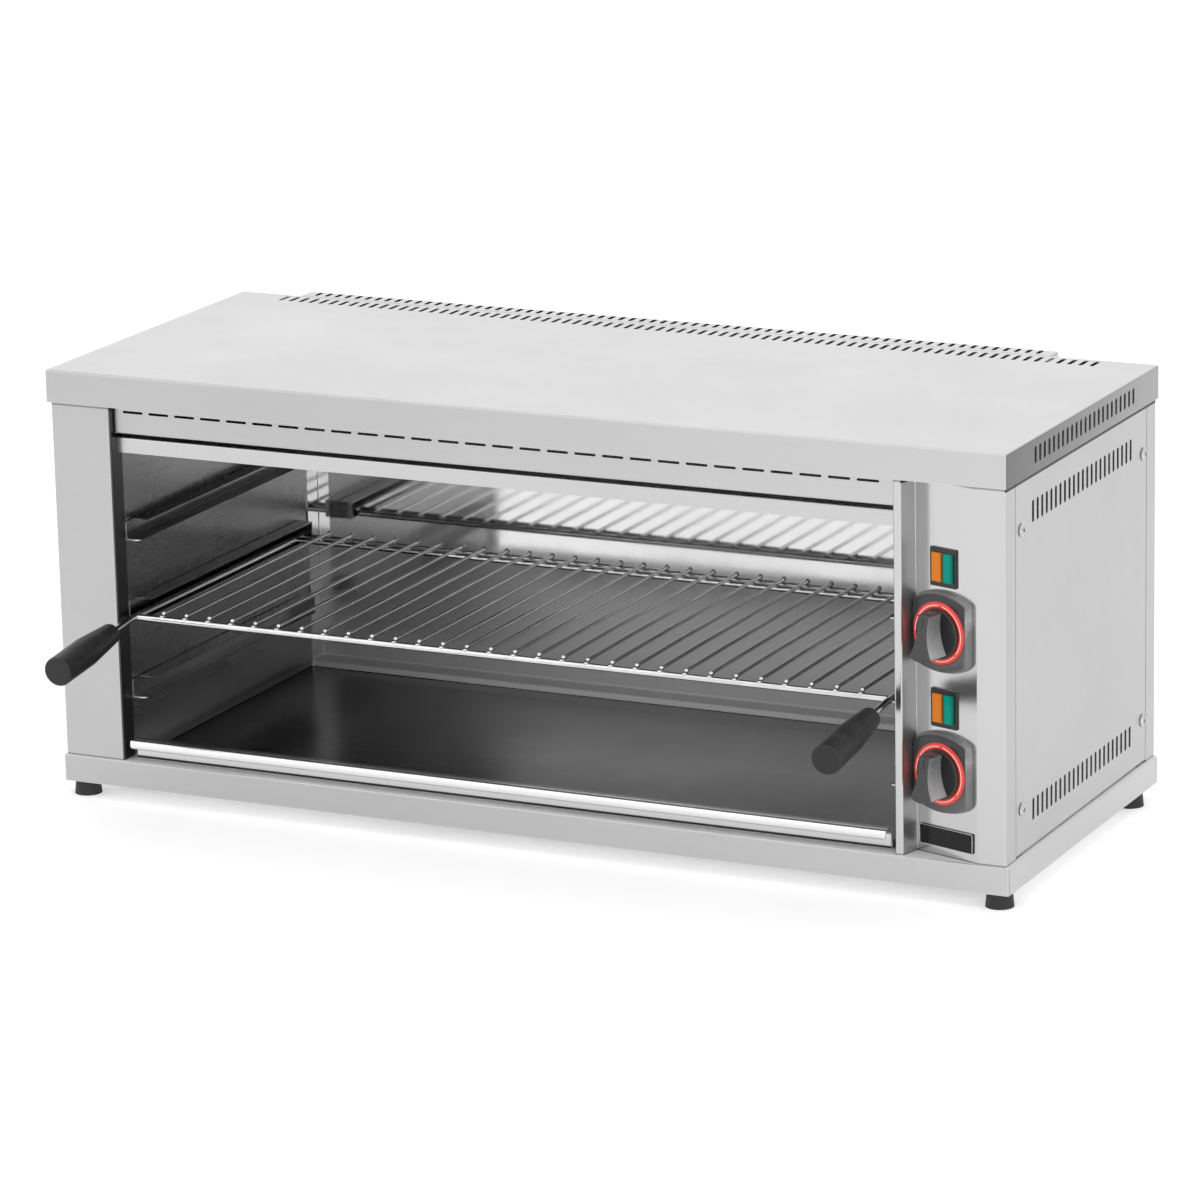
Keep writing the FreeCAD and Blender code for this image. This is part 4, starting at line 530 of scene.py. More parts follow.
def make_tray(colours, details):
    """The crumb tray: a floor dulled by scouring; painted light makes its rims paler and its rear
    edge pale, and painted shade darkens the floor along its sides.
    """
    finish = steel("Crumb tray steel", shade(colours.liner, 0.74), 0.15, grain=0.04, haze=0.10,
                   contrast=0.06, marks=6.0)
    finish.shader["Specular Tint"].default_value = grey(0.6)
    strokes = finish.node("ShaderNodeMapping", named={
        "Vector": finish.place, "Rotation": (0.0, 0.0, math.radians(38.0)),
        "Scale": (8.0, 160.0, 1.0)})
    scours = finish.remap(finish.noise(strokes.outputs[0], 1.0, 4.0, 0.7), 0.55, 0.75, 0.0, 1.0)
    finish.patch(finish.times(scours, 0.3), shade(colours.liner, 1.25))
    place = finish.split(finish.place)
    low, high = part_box("tray_pan")
    middle = (low.x + high.x) / 2.0
    beside = finish.size(finish.minus(place["X"], middle))
    side = finish.over(beside, high.x - middle - 2.6 * MM)
    # Painted shade: the floor along the tray's sides is made near black.
    finish.patch(side, grey(0.03))
    rim = finish.over(place["Z"], STAND + 2.0 * MM)
    # Painted light: the rims are made paler, most of all along the sides.
    finish.patch(rim, finish.mix(side, shade(colours.liner, 3.1), shade(colours.liner, 0.95)), 0.60)
    bend = finish.times(rim, finish.under(place["Z"], STAND + 2.6 * MM))
    edges = finish.most(finish.over(place["Z"], STAND + 7.3 * MM), bend)
    rear = finish.times(edges, finish.over(place["Y"], high.y - 1.8 * MM))
    front = finish.under(place["Y"], low.y + 3.0 * MM)
    finish.mixed("Roughness", front, 0.95)
    # Painted highlight on the rear edge; the front strip is also made pale and matt.
    finish.patch(finish.most(rear, front), grey(0.88))
    return finish


def make_lip(colours, details):
    """The tray's rolled lip: a painted highlight on its crest, a painted dark reflection behind the
    crest and a painted shadow at its foot.
    """
    finish = steel("Tray lip steel", shade(colours.skin, 1.22), 0.22, haze=0.03, edge_wear_and_highlight=0.4)
    low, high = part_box("tray_lip")
    place = finish.split(finish.place)
    crest = finish.remap(place["Z"], high.z - 12.0 * MM, high.z - 3.0 * MM, 0.0, 0.85)
    # Painted highlight along the crest.
    finish.patch(crest, grey(0.93))
    behind = finish.remap(place["Y"], high.y - 6.6 * MM, high.y - 5.6 * MM, 0.0, 0.75)
    # Painted dark reflection behind the crest.
    finish.patch(finish.times(behind, finish.over(place["Z"], high.z - 1.6 * MM)), grey(0.12))
    foot = finish.remap(place["Z"], low.z + 2.4 * MM, low.z + 1.8 * MM, 0.0, 0.95)
    # Painted shadow at the lip's foot.
    finish.patch(foot, grey(0.02))
    return finish


def make_hood(colours, details):
    """The hood: plain at its front lip, tinted straw and blue by the heat behind it."""
    finish = steel("Heat tinted hood", shade(colours.skin, 1.12), 0.26, haze=0.06, contrast=0.03)
    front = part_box("hood")[0].y
    bands = finish.remap(finish.noise(finish.place, 9.0, 3.0, 0.6), 0.4, 0.65, 0.0, 1.0)
    tint = finish.mix(bands, (0.42, 0.35, 0.27, 1.0), (0.34, 0.35, 0.41, 1.0))
    finish.patch(finish.remap(finish.at("Y"), front + 4.0 * MM, front + 40.0 * MM, 0.0, 0.7), tint)
    return finish


def make_wire(colours, details):
    """Bright plating, a little dull in patches."""
    finish = Finish("Rack plating", Metallic=1.0)
    patches = finish.marks(40.0)
    finish.set("Base Color", finish.mix(patches, shade(colours.wire, 1.08),
                                        shade(colours.wire, 0.86)))
    finish.set("Roughness", finish.scaled(patches, 0.10, 0.09))
    finish.bump(finish.noise(finish.place, 700.0, 2.0), 0.00002, 0.3)
    return finish


def make_screw(colours, details):
    """Bright plating; a face attribute paints shade into the recesses and onto the skirt of each
    head.
    """
    finish = Finish("Plated screws", Metallic=1.0)
    patches = finish.marks(120.0)
    edge = finish.effect("Worn and highlit edges", Width=0.0005)["Mask"]
    recess_shade = finish.node("ShaderNodeAttribute", attribute_name="Recess shade").outputs["Fac"]
    tone = finish.mix(patches, grey(0.66), (0.44, 0.44, 0.43, 1.0))
    # Painted highlight: the heads' edges are made paler.
    tone = finish.mix(finish.times(edge, 0.6), tone, grey(0.95))
    finish.set("Base Color", finish.mix(recess_shade, tone, grey(0.05)))
    finish.set("Roughness", finish.scaled(patches, 0.14, 0.14))
    return finish


def make_sheath(colours, details):
    """Oxidised tube of the heating elements."""
    finish = Finish("Element sheath", Metallic=0.75)
    patches = finish.marks(60.0)
    finish.set("Base Color", finish.mix(patches, (0.115, 0.100, 0.085, 1.0),
                                        (0.205, 0.185, 0.160, 1.0)))
    finish.set("Roughness", finish.scaled(patches, 0.25, 0.45))
    finish.bump(finish.noise(finish.place, 1500.0, 3.0), 0.00004, 0.5)
    return finish


def make_ceramic(colours, details):
    finish = Finish("Ceramic", Coat_Weight=0.3, Coat_Roughness=0.2)
    skin = finish.effect("Moulded skin", Scale=1800.0)
    settled = finish.effect("Settled dust", Amount=0.2)["Mask"]
    tone = finish.mix(skin["Tone"], (0.74, 0.71, 0.64, 1.0), (0.82, 0.80, 0.74, 1.0))
    finish.set("Base Color", finish.mix(settled, tone, (0.45, 0.43, 0.40, 1.0)))
    finish.set("Roughness", finish.scaled(skin["Tone"], 0.2, 0.35))
    finish.bump(skin["Height"], 0.00003, 0.4)
    return finish


def make_grip(colours, details):
    finish = plastic("Grip plastic", colours.grip, 0.46, scale=1900.0, depth=0.00004, edge_wear_and_highlight=0.15)
    finish.shader["Specular IOR Level"].default_value = 0.4
    return finish


def dial_masks(finish):
    """Masks in the slanted panel's own frame: how much a face looks sideways and forward, how
    far out it stands in mm, how far right of its dial's axis it lies and how far above it."""
    place = panel_frame("upper")
    turn = place.to_3x3()
    across, out = turn.col[0], turn.col[2]
    normal = finish.tree.nodes["Texture Coordinate"].outputs["Normal"]
    pitch = place.translation.z - panel_frame("lower").translation.z
    level = finish.minus(finish.at("Z"), place.translation.z)
    return {
        "sideways": finish.size(finish.dot(normal, across)),
        "forward": finish.size(finish.dot(normal, out)),
        "out": finish.scaled(finish.dot(finish.place, out), 1000.0,
                             -1000.0 * place.translation.dot(out)),
        "right": finish.minus(finish.dot(finish.place, across), place.translation.dot(across)),
        "above": finish.math("WRAP", level, pitch / 2.0, -pitch / 2.0)}


def make_knob(colours, details):
    """Satin plastic: painted reflection makes the wing's flanks pale, paler toward the bottom, and
    the round skirt is gloss black.
    """
    finish = plastic("Knob plastic", colours.plastic, 0.28, depth=0.000015, edge_wear_and_highlight=0.5)
    mask = dial_masks(finish)
    wing = finish.remap(mask["out"], 12.8, 13.4, 0.0, 1.0)
    flank_reflection = finish.times(finish.remap(mask["sideways"], 0.6, 0.9, 0.0, 1.0), wing)
    cloud = finish.times(finish.noise(finish.place, 90.0, 3.0), 0.4)
    lower = finish.remap(mask["above"], 14.0 * MM, -20.0 * MM, 0.0, 0.8)
    pale = finish.mix(finish.plus(cloud, lower), (0.13, 0.13, 0.135, 1.0),
                      (0.42, 0.42, 0.425, 1.0))
    # Painted reflection: the wing's flanks are made pale.
    finish.patch(flank_reflection, pale)
    finish.patch(finish.times(finish.minus(1.0, wing), 0.75), (0.008, 0.008, 0.009, 1.0))
    return finish


def make_bezel(colours, details):
    """Gloss plastic with painted light: paler to the right and toward the bottom, with pale satin
    sides of painted reflection.
    """
    finish = plastic("Bezel plastic", shade(colours.plastic, 0.62), 0.22, depth=0.000015, edge_wear_and_highlight=0.6)
    mask = dial_masks(finish)
    dull = (0.20, 0.20, 0.205, 1.0)
    bezel_painted_light = finish.minus(finish.times(mask["right"], 0.6), finish.times(mask["above"], 0.8))
    # Painted light: paler toward the right and the bottom.
    finish.patch(finish.remap(bezel_painted_light, 8.0 * MM, 42.0 * MM, 0.0, 0.75), dull)
    side = finish.remap(mask["forward"], 0.55, 0.85, 1.0, 0.0)
    high = finish.minus(finish.noise(finish.place, 70.0, 3.0),
                        finish.size(finish.scaled(mask["above"], 30.0, -0.45)))
    # Painted reflection: pale sides.
    finish.patch(finish.times(side, 0.9), finish.mix(high, dull, (0.62, 0.62, 0.625, 1.0)))
    return finish


def make_frame(colours, details):
    return plastic("Pilot frame plastic", shade(colours.grip, 0.9), 0.33, edge_wear_and_highlight=0.2)


def make_rubber(colours, details):
    return plastic("Foot rubber", shade(colours.grip, 1.2), 0.62, scale=1300.0, depth=0.00006,
                   edge_wear_and_highlight=0.1, dust=0.2)


def make_ring(colours, details):
    """A red ring with a painted glow; its colour follows the ring's own width, with a painted
    highlight along the middle and painted shade toward the edges.
    """
    finish = Finish("Lit dial ring", Roughness=0.22, Coat_Weight=0.4, Coat_Roughness=0.08,
                    Emission_Strength=0.22)
    across = finish.split(finish.node("ShaderNodeUVMap", uv_map="Span").outputs[0])["Y"]
    crest = finish.minus(1.0, finish.size(finish.scaled(across, 2.0, -1.0)))
    glow = finish.scaled(finish.noise(finish.place, 150.0, 3.0), 0.25, finish.times(crest, 1.6))
    # Painted glow and highlight, brightest along the middle of the ring's width.
    for label, edge, middle in (("Base Color", 0.55, shade(colours.ring, 1.0)),
                                ("Emission Color", 0.5, (0.95, 0.16, 0.11, 1.0))):
        finish.set(label, finish.mix(glow, shade(colours.ring, edge), middle))
    return finish


def make_ring_highlight(colours, details):
    # Painted highlight: pale glowing arcs stand for the light on the ring's round crest.
    finish = Finish("Dial scale line", Roughness=0.3, Emission_Strength=0.55)
    tone = finish.mix(finish.noise(finish.place, 220.0, 3.0), shade(colours.ring_highlight, 0.80),
                      shade(colours.ring_highlight, 1.1))
    finish.set("Base Color", tone)
    finish.set("Emission Color", tone)
    return finish


def lens_finish(name, colour, stripe, dark):
    """A coloured lens that is lighter along an upright stripe."""
    finish = Finish(name, Roughness=0.18, Specular_IOR_Level=0.12, Emission_Strength=0.12)
    low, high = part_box(name.lower().replace(" ", "_") + "_upper")
    across = finish.remap(finish.at("X"), low.x, high.x, 0.0, 1.0)
    band = finish.remap(finish.size(finish.minus(across, 0.36)), 0.16, 0.42, stripe, 0.0)
    mixed = finish.scaled(finish.noise(finish.place, 190.0, 3.0), 0.35, band)
    tone = finish.mix(mixed, shade(colour, dark), shade(colour, 1.2))
    finish.set("Base Color", tone)
    finish.set("Emission Color", tone)
    return finish


def make_amber(colours, details):
    return lens_finish("Amber lens", colours.amber, 0.35, 0.85)


def make_green(colours, details):
    return lens_finish("Green lens", colours.green, 0.85, 0.55)


def make_badge(colours, details):
    finish = Finish("Badge enamel", Specular_IOR_Level=0.25)
    patches = finish.marks(80.0)
    settled = finish.effect("Settled dust", Amount=0.15)["Mask"]
    tone = finish.mix(patches, (0.006, 0.006, 0.007, 1.0), (0.012, 0.012, 0.013, 1.0))
    finish.set("Base Color", finish.mix(settled, tone, grey(0.2)))
    finish.set("Roughness", finish.scaled(patches, 0.12, 0.12))
    return finish


def make_seam_shadow(colours, details):
    # Painted shade: a dark finish for thin strips and rods set where gaps lie in shadow.
    finish = Finish("Seam shadow", Metallic=0.4)
    patches = finish.marks(90.0)
    finish.set("Base Color", finish.mix(patches, grey(0.05), grey(0.10)))
    finish.set("Roughness", finish.scaled(patches, 0.2, 0.6))
    return finish


FINISH_MAKERS = {
    "skin": make_skin, "lid": make_lid, "base": make_base, "panel": make_panel,
    "liner": make_liner, "guide": make_guide, "back": make_back, "tray": make_tray,
    "lip": make_lip, "hood": make_hood, "wire": make_wire, "screw": make_screw,
    "sheath": make_sheath, "ceramic": make_ceramic, "grip": make_grip, "knob": make_knob,
    "bezel": make_bezel, "frame": make_frame, "rubber": make_rubber, "ring": make_ring,
    "ring_highlight": make_ring_highlight, "amber": make_amber, "green": make_green,
    "badge": make_badge, "seam_shadow": make_seam_shadow,
}
finishes = {}

def finish_of(name):
    """The material of a finish, made when it is first asked for."""
    if not EFFECTS:
        for make in (brushed_grain, handling_marks, worn_and_highlit_edges, moulded_skin, settled_dust):
            group = make()
            EFFECTS[group.name] = group
    if name not in finishes:
        scene = bpy.context.scene
        finishes[name] = FINISH_MAKERS[name](scene.grill_colours, scene.grill_details).material
    return finishes[name]


def dress(finish, *names):
    for name in names:
        mesh = nodes[name].data
        mesh.materials.clear()
        mesh.materials.append(finish_of(finish))


# Pieces.

def panel_frame(tier):
    """The slanted panel's own frame at a dial: X along the panel, Y up and Z out of it."""
    joint = next(j for j in frame["joints"] if j["name"] == tier + "_dial_turn")
    inward = Vector(joint["axis"])
    columns = (Vector((inward.y, -inward.x, 0.0)), Vector((0.0, 0.0, 1.0)), -inward)
    turn = Matrix([list(column) for column in columns]).transposed().to_4x4()
    return Matrix.Translation(Vector(joint["pos_m"])) @ turn


def new_object(name, data):
    made = bpy.data.objects.new(name, data)
    bpy.context.scene.collection.objects.link(made)
    return made


def new_piece(name, mesh, body, slot, *replaced):
    piece = new_object(name, mesh)
    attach(piece, body)
    if replaced:
        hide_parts(*replaced)


def new_mesh(name, shape):
    """The mesh of a bmesh shape, which is freed."""
    mesh = bpy.data.meshes.new(name)
    shape.to_mesh(mesh)
    shape.free()
    return mesh


def smooth(mesh, angle=35.0):
    mesh.shade_smooth()
    edges = bmesh.new()
    edges.from_mesh(mesh)
    for edge in edges.edges:
        if len(edge.link_faces) == 2 and edge.calc_face_angle() > math.radians(angle):
            edge.smooth = False
    edges.to_mesh(mesh)
    edges.free()


def turned(name, profile, segments, finish, uv_name=None):
    """A closed mesh led about Z; a profile point is (reach, height), reach may follow the angle."""
    shape = bmesh.new()
    rows = []
    for step in range(segments):
        angle = 2.0 * math.pi * step / segments
        reaches = [reach(angle) if callable(reach) else reach for reach, height in profile]
        rows.append([shape.verts.new((reach * math.sin(angle), reach * math.cos(angle), height))
                     for reach, (_, height) in zip(reaches, profile)])
    layer = shape.loops.layers.uv.new(uv_name) if uv_name else None
    inner, outer = min(reaches), max(reaches)
    for step in range(segments):
        first, second = rows[step], rows[(step + 1) % segments]
        for index in range(len(profile)):
            after = (index + 1) % len(profile)
            face = shape.faces.new((first[index], first[after], second[after], second[index]))
            if layer:
                spans = ((index, step), (after, step), (after, step + 1), (index, step + 1))
                for loop, (point, turn) in zip(face.loops, spans):
                    loop[layer].uv = (turn / segments, (reaches[point] - inner) / (outer - inner))
    bmesh.ops.recalc_face_normals(shape, faces=shape.faces)
    mesh = new_mesh(name, shape)
    smooth(mesh)
    mesh.materials.append(finish_of(finish))
    return mesh


def evaluated(item):
    """The plain mesh that an object's modifiers make; the modifiers are removed."""
    seen = item.evaluated_get(bpy.context.evaluated_depsgraph_get())
    mesh = bpy.data.meshes.new_from_object(seen)
    item.modifiers.clear()
    return mesh


def grown(name, tree, finish, values):
    """The plain mesh that a Geometry Nodes tree makes from its named inputs."""
    source = new_object(name + "_source", bpy.data.meshes.new(name + "_source"))
    modifier = source.modifiers.new("Nodes", "NODES")
    modifier.node_group = tree
    sockets = {item.name: item.identifier for item in tree.interface.items_tree
               if item.item_type == "SOCKET" and item.in_out == "INPUT"}
    for label, value in {**values, "Finish": finish_of(finish)}.items():
        modifier[sockets[label]] = value
    mesh = evaluated(source)
    mesh.name = name
    bpy.data.objects.remove(source)
    if not mesh.polygons:
        raise RuntimeError(name + " came out empty")
    return mesh


class Grower(Wiring):
    """A Geometry Nodes tree with named inputs; close() ends it in Set Material."""

    def __init__(self, name, **inputs):
        inputs["Finish"] = ("NodeSocketMaterial", None)
        w, self.given, self.result = new_group("GeometryNodeTree", name, inputs,
                                               {"Mesh": "NodeSocketGeometry"})
        super().__init__(w.tree)

    def row(self, count, start, step):
        """Points in a row."""
        return self.node("GeometryNodeMeshLine", mode="OFFSET", named={
            "Count": count, "Start Location": start, "Offset": step}).outputs[0]

    def grid(self, width, height, columns, rows):
        return self.node("GeometryNodeMeshGrid", named={
            "Size X": width, "Size Y": height, "Vertices X": columns,
            "Vertices Y": rows}).outputs[0]

    def moved(self, shape, **named):
        return self.node("GeometryNodeTransform", named={"Geometry": shape, **named}).outputs[0]

    def spread(self, points, shape, **named):
        """A copy of a shape on each point."""
        return self.node("GeometryNodeInstanceOnPoints", named={
            "Points": points, "Instance": shape, **named}).outputs[0]

    def ball(self, radius, segments, rings):
        return self.node("GeometryNodeMeshUVSphere", named={
            "Segments": segments, "Rings": rings, "Radius": radius}).outputs[0]

    def rod(self, radius, length, sides):
        return self.node("GeometryNodeMeshCylinder", named={
            "Vertices": sides, "Radius": radius, "Depth": length}).outputs["Mesh"]

    def tube(self, path, radius, sides, caps):
        """A round tube along a curve."""
        rim = self.node("GeometryNodeCurvePrimitiveCircle", named={
            "Resolution": sides, "Radius": radius}).outputs[0]
        return self.node("GeometryNodeCurveToMesh", named={
            "Curve": path, "Profile Curve": rim, "Fill Caps": caps}).outputs[0]

    def close(self, shape, flat=False):
        real = self.node("GeometryNodeRealizeInstances", shape).outputs[0]
        soft = self.node("GeometryNodeSetShadeSmooth", named={
            "Geometry": real, "Shade Smooth": not flat}).outputs[0]
        coat = self.node("GeometryNodeSetMaterial", named={
            "Geometry": soft, "Material": self.given["Finish"]}).outputs[0]
        self.feed(self.result["Mesh"], coat)
        return self.tree


def wire_tree():
    """Parallel wires along Y with rounded ends."""
    w = Grower("Rack wires", Count=(COUNT, 30), Sides=(COUNT, 12), Start=(VECTOR, None),
               Pitch=(FLOAT, 0.02), Length=(FLOAT, 0.3), Radius=(FLOAT, 0.002),
               Knob=(FLOAT, 0.002))
    given = w.given
    near, far = given["Knob"], w.minus(given["Length"], given["Knob"])
    line = w.node("GeometryNodeCurvePrimitiveLine", named={
        "Start": w.combine(0.0, near, 0.0), "End": w.combine(0.0, far, 0.0)}).outputs[0]
    wire = w.node("GeometryNodeJoinGeometry", w.tube(line, given["Radius"], given["Sides"], True))
    for reach in (near, far):
        knob = w.moved(w.ball(near, 12, 8), Translation=w.combine(0.0, reach, 0.0))
        w.feed(wire.inputs[0], knob)
    places = w.row(given["Count"], given["Start"], w.combine(given["Pitch"], 0.0, 0.0))
    return w.close(w.spread(places, wire.outputs[0]))


def weld_tree():
    """A grid of small flattened beads where wires cross bars."""
    w = Grower("Weld beads", Columns=(COUNT, 30), Rows=(COUNT, 2), Width=(FLOAT, 0.7),
               Depth=(FLOAT, 0.01), Middle=(VECTOR, None), Radius=(FLOAT, 0.003))
    given = w.given
    grid = w.grid(given["Width"], given["Depth"], given["Columns"], given["Rows"])
    return w.close(w.spread(w.moved(grid, Translation=given["Middle"]),
                            w.ball(given["Radius"], 10, 6), Scale=(1.0, 1.15, 0.62)))


def screw_tree():
    """A grid of screws on a plane that is turned and moved into place."""
    w = Grower("Screw pattern", Screw=("NodeSocketObject", None), Columns=(COUNT, 2),
               Rows=(COUNT, 2), Width=(FLOAT, 0.1), Height=(FLOAT, 0.1),
               Facing=("NodeSocketRotation", None), Middle=(VECTOR, None))
    given = w.given
    grid = w.grid(given["Width"], given["Height"], given["Columns"], given["Rows"])
    screw = w.node("GeometryNodeObjectInfo", named={"Object": given["Screw"]})
    turn = w.node("FunctionNodeRandomValue", data_type="FLOAT", named={"Seed": 7})
    turn.inputs[3].default_value = 1.5
    screws = w.spread(grid, screw.outputs["Geometry"],
                      Rotation=w.combine(0.0, 0.0, turn.outputs[1]))
    return w.close(w.moved(screws, Rotation=given["Facing"], Translation=given["Middle"]),
                   flat=True)


def rib_tree():
    """Upright half-round ribs side by side on a lens."""
    w = Grower("Lens ribs", Count=(COUNT, 6), Start=(VECTOR, None), Step=(VECTOR, None),
               Length=(FLOAT, 0.02), Radius=(FLOAT, 0.0007))
    given = w.given
    return w.close(w.spread(w.row(given["Count"], given["Start"], given["Step"]),
                            w.rod(given["Radius"], given["Length"], 10)))


def arc_tree():
    """A thin round line along part of a circle."""
    w = Grower("Scale line", Radius=(FLOAT, 0.025), From=(FLOAT, 0.0), Sweep=(FLOAT, 1.0),
               Thickness=(FLOAT, 0.0003))
    given = w.given
    arc = w.node("GeometryNodeCurveArc", named={
        "Resolution": 48, "Radius": given["Radius"], "Start Angle": given["From"],
        "Sweep Angle": given["Sweep"]}).outputs["Curve"]
    return w.close(w.tube(arc, given["Thickness"], 8, True))


def trim_tree():
    """A round line along a rectangle with rounded corners."""
    w = Grower("Trim line", Width=(FLOAT, 0.06), Height=(FLOAT, 0.02), Corner=(FLOAT, 0.001),
               Thickness=(FLOAT, 0.0004))
    given = w.given
    path = w.node("GeometryNodeCurvePrimitiveQuadrilateral", named={
        "Width": given["Width"], "Height": given["Height"]}).outputs[0]
    bent = w.node("GeometryNodeFilletCurve", named={
        "Curve": path, "Radius": given["Corner"]}).outputs[0]
    return w.close(w.tube(bent, given["Thickness"], 8, False))


def seam_tree():
    """Thin upright dark rods of painted shade at the corners of a rectangle."""
    w = Grower("Corner seams", Width=(FLOAT, 0.9), Depth=(FLOAT, 0.3), Middle=(VECTOR, None),
               Height=(FLOAT, 0.02), Gap=(FLOAT, 0.0004))
    given = w.given
    corners = w.moved(w.grid(given["Width"], given["Depth"], 2, 2), Translation=given["Middle"])
    return w.close(w.spread(corners, w.rod(given["Gap"], given["Height"], 8)))


# The screws' domed heads and shanks.
SCREW_HEAD = 6.0 * MM
SCREW_RIM = 0.8 * MM
SCREW_DOME = 2.2 * MM
SCREW_SHANK = 2.0 * MM
SCREW_LENGTH = 9.0 * MM


def screw_shape(name, cross):
    """A domed head with a cross recess on a short shank, looking along +Z."""
    head, rim, dome = SCREW_HEAD, SCREW_RIM, SCREW_DOME
    profile = [(SCREW_SHANK, -SCREW_LENGTH), (SCREW_SHANK, 0.0), (head, 0.0), (head, rim)]
    globe = (head * head + dome * dome) / (2.0 * dome)
    steps = 6
    for step in range(1, steps):
        lean = math.asin(head / globe) * (1.0 - step / steps)
        profile.append((globe * math.sin(lean), rim + dome - globe * (1.0 - math.cos(lean))))
    shape = bmesh.new()
    segments = 32
    angles = [2.0 * math.pi * step / segments for step in range(segments)]
    rings = [[shape.verts.new((reach * math.cos(angle), reach * math.sin(angle), height))
              for angle in angles] for reach, height in profile]
    for low, high in zip(rings, rings[1:]):
        for s in range(segments):
            after = (s + 1) % segments
            shape.faces.new((low[s], low[after], high[after], high[s]))
    shape.faces.new(rings[0][::-1])
    shape.faces.new(rings[-1])
    screw = new_object(name, new_mesh(name, shape))
    tools = []
    for turn in range(2):
        cutter = bmesh.new()
        bmesh.ops.create_cube(cutter, size=1.0)
        sizes = (cross, cross * 0.2, dome * 1.6)
        for vertex in cutter.verts:
            narrow = 0.55 if vertex.co.z < 0.0 else 1.0
            vertex.co = Vector((vertex.co.x * sizes[0] * narrow, vertex.co.y * sizes[1] * narrow,
                                vertex.co.z * sizes[2] + rim + dome))
        quarter = Matrix.Rotation(turn * math.pi / 2.0, 3, "Z")
        bmesh.ops.rotate(cutter, verts=cutter.verts, matrix=quarter)
        tool = new_object(name + "_cross", new_mesh(name + "_cross", cutter))
        modifier = screw.modifiers.new("Cross", "BOOLEAN")
        modifier.operation = "DIFFERENCE"
        modifier.object = tool
        tools.append(tool)
    cut = screw.data = evaluated(screw)
    # Painted shade: faces in the cross recess and on the head's skirt are marked dark.
    recess_shade = cut.attributes.new("Recess shade", "FLOAT", "FACE")
    for face in cut.polygons:
        spot = face.center
        reach = math.hypot(spot.x, spot.y)
        crown = rim + dome - globe + math.sqrt(max(globe * globe - reach * reach, 0.0))
        deep = spot.z < crown - 0.12 * MM and reach < cross * 0.55
        recess_shade.data[face.index].value = 0.9 if deep else (0.8 if spot.z < rim * 0.6 else 0.0)
    for tool in tools:
        bpy.data.objects.remove(tool)
    return screw


class GRILL_OT_cabinet(bpy.types.Operator):
    """Gives the outer sheets their brushed steel"""
    bl_idname = "grill.cabinet"
    bl_label = "Cabinet sheets"

    def execute(self, context):
        dress("skin", "left_column", "fascia", *["rear_corner_" + hand for hand in HANDS],
              *["side_panel_" + hand for hand in HANDS])
        dress("lid", "lid")
        dress("base", "base_pan")
        dress("panel", "control_panel")
        dress("back", "rear_cowl")
        # Painted shade: dark rods in the base's corner gaps.
        low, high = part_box("base_pan")
        size = high - low
        bend = 2.0 * MM
        seams = grown("base_seams", seam_tree(), "seam_shadow", {
            "Width": size.x - 0.3 * MM, "Depth": size.y - bend * 2.0,
            "Middle": (low + high) / 2.0 - Vector((0.0, 0.0, MM)),
            "Height": size.z - 2.5 * MM, "Gap": 0.3 * MM})
        new_piece("base_seams", seams, "cabinet", "brushed_skin")

        # Dark lines of painted shadow where the lid and the side panels meet the cabinet.
        lines = trim_tree()
        post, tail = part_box("left_column")[0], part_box("rear_corner_left")[1]
        depth = tail.y - post.y
        lid_line = grown("lid_line", lines, "seam_shadow", {
            "Width": -2.0 * post.x, "Height": depth, "Corner": 1.5 * MM,
            "Thickness": 0.55 * MM})
        lid_line.transform(Matrix.Translation((0.0, post.y + depth / 2.0, UNDER - 0.3 * MM)))
        new_piece("lid_line", lid_line, "cabinet", "brushed_skin")
        for hand, sign in zip(HANDS, (-1.0, 1.0)):
            low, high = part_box("side_panel_" + hand)
            mesh = grown("panel_line_" + hand, lines, "seam_shadow", {
                "Width": high.y - low.y, "Height": high.z - low.z, "Corner": 1.0 * MM,
                "Thickness": 0.35 * MM})
            place = (low + high) / 2.0
            place.x = (low.x if sign < 0.0 else high.x) - sign * 0.2 * MM
            mesh.transform(Matrix.Translation(place) @ Matrix.Rotation(math.pi / 2.0, 4, "Z")
                           @ Matrix.Rotation(math.pi / 2.0, 4, "X"))
            new_piece("panel_line_" + hand, mesh, "cabinet", "brushed_skin")
        return {"FINISHED"}


class GRILL_OT_chamber(bpy.types.Operator):
    """Gives the chamber, its guides, the hood and the elements their finishes"""
    bl_idname = "grill.chamber"
    bl_label = "Chamber"

    def execute(self, context):
        dress("liner", *["chamber_wall_" + hand for hand in HANDS])
        dress("guide", *["guide_%s_%s" % (hand, tier) for hand in HANDS
                         for tier in ("low", "middle", "top")])
        dress("hood", "hood", "element_hangers")
        dress("sheath", "element_front", "element_rear")
        dress("ceramic", "element_bushings", "element_terminals", "terminal_block")
        dress("tray", "tray_pan")
        dress("lip", "tray_lip")
        return {"FINISHED"}


WIRE_COUNT = 30


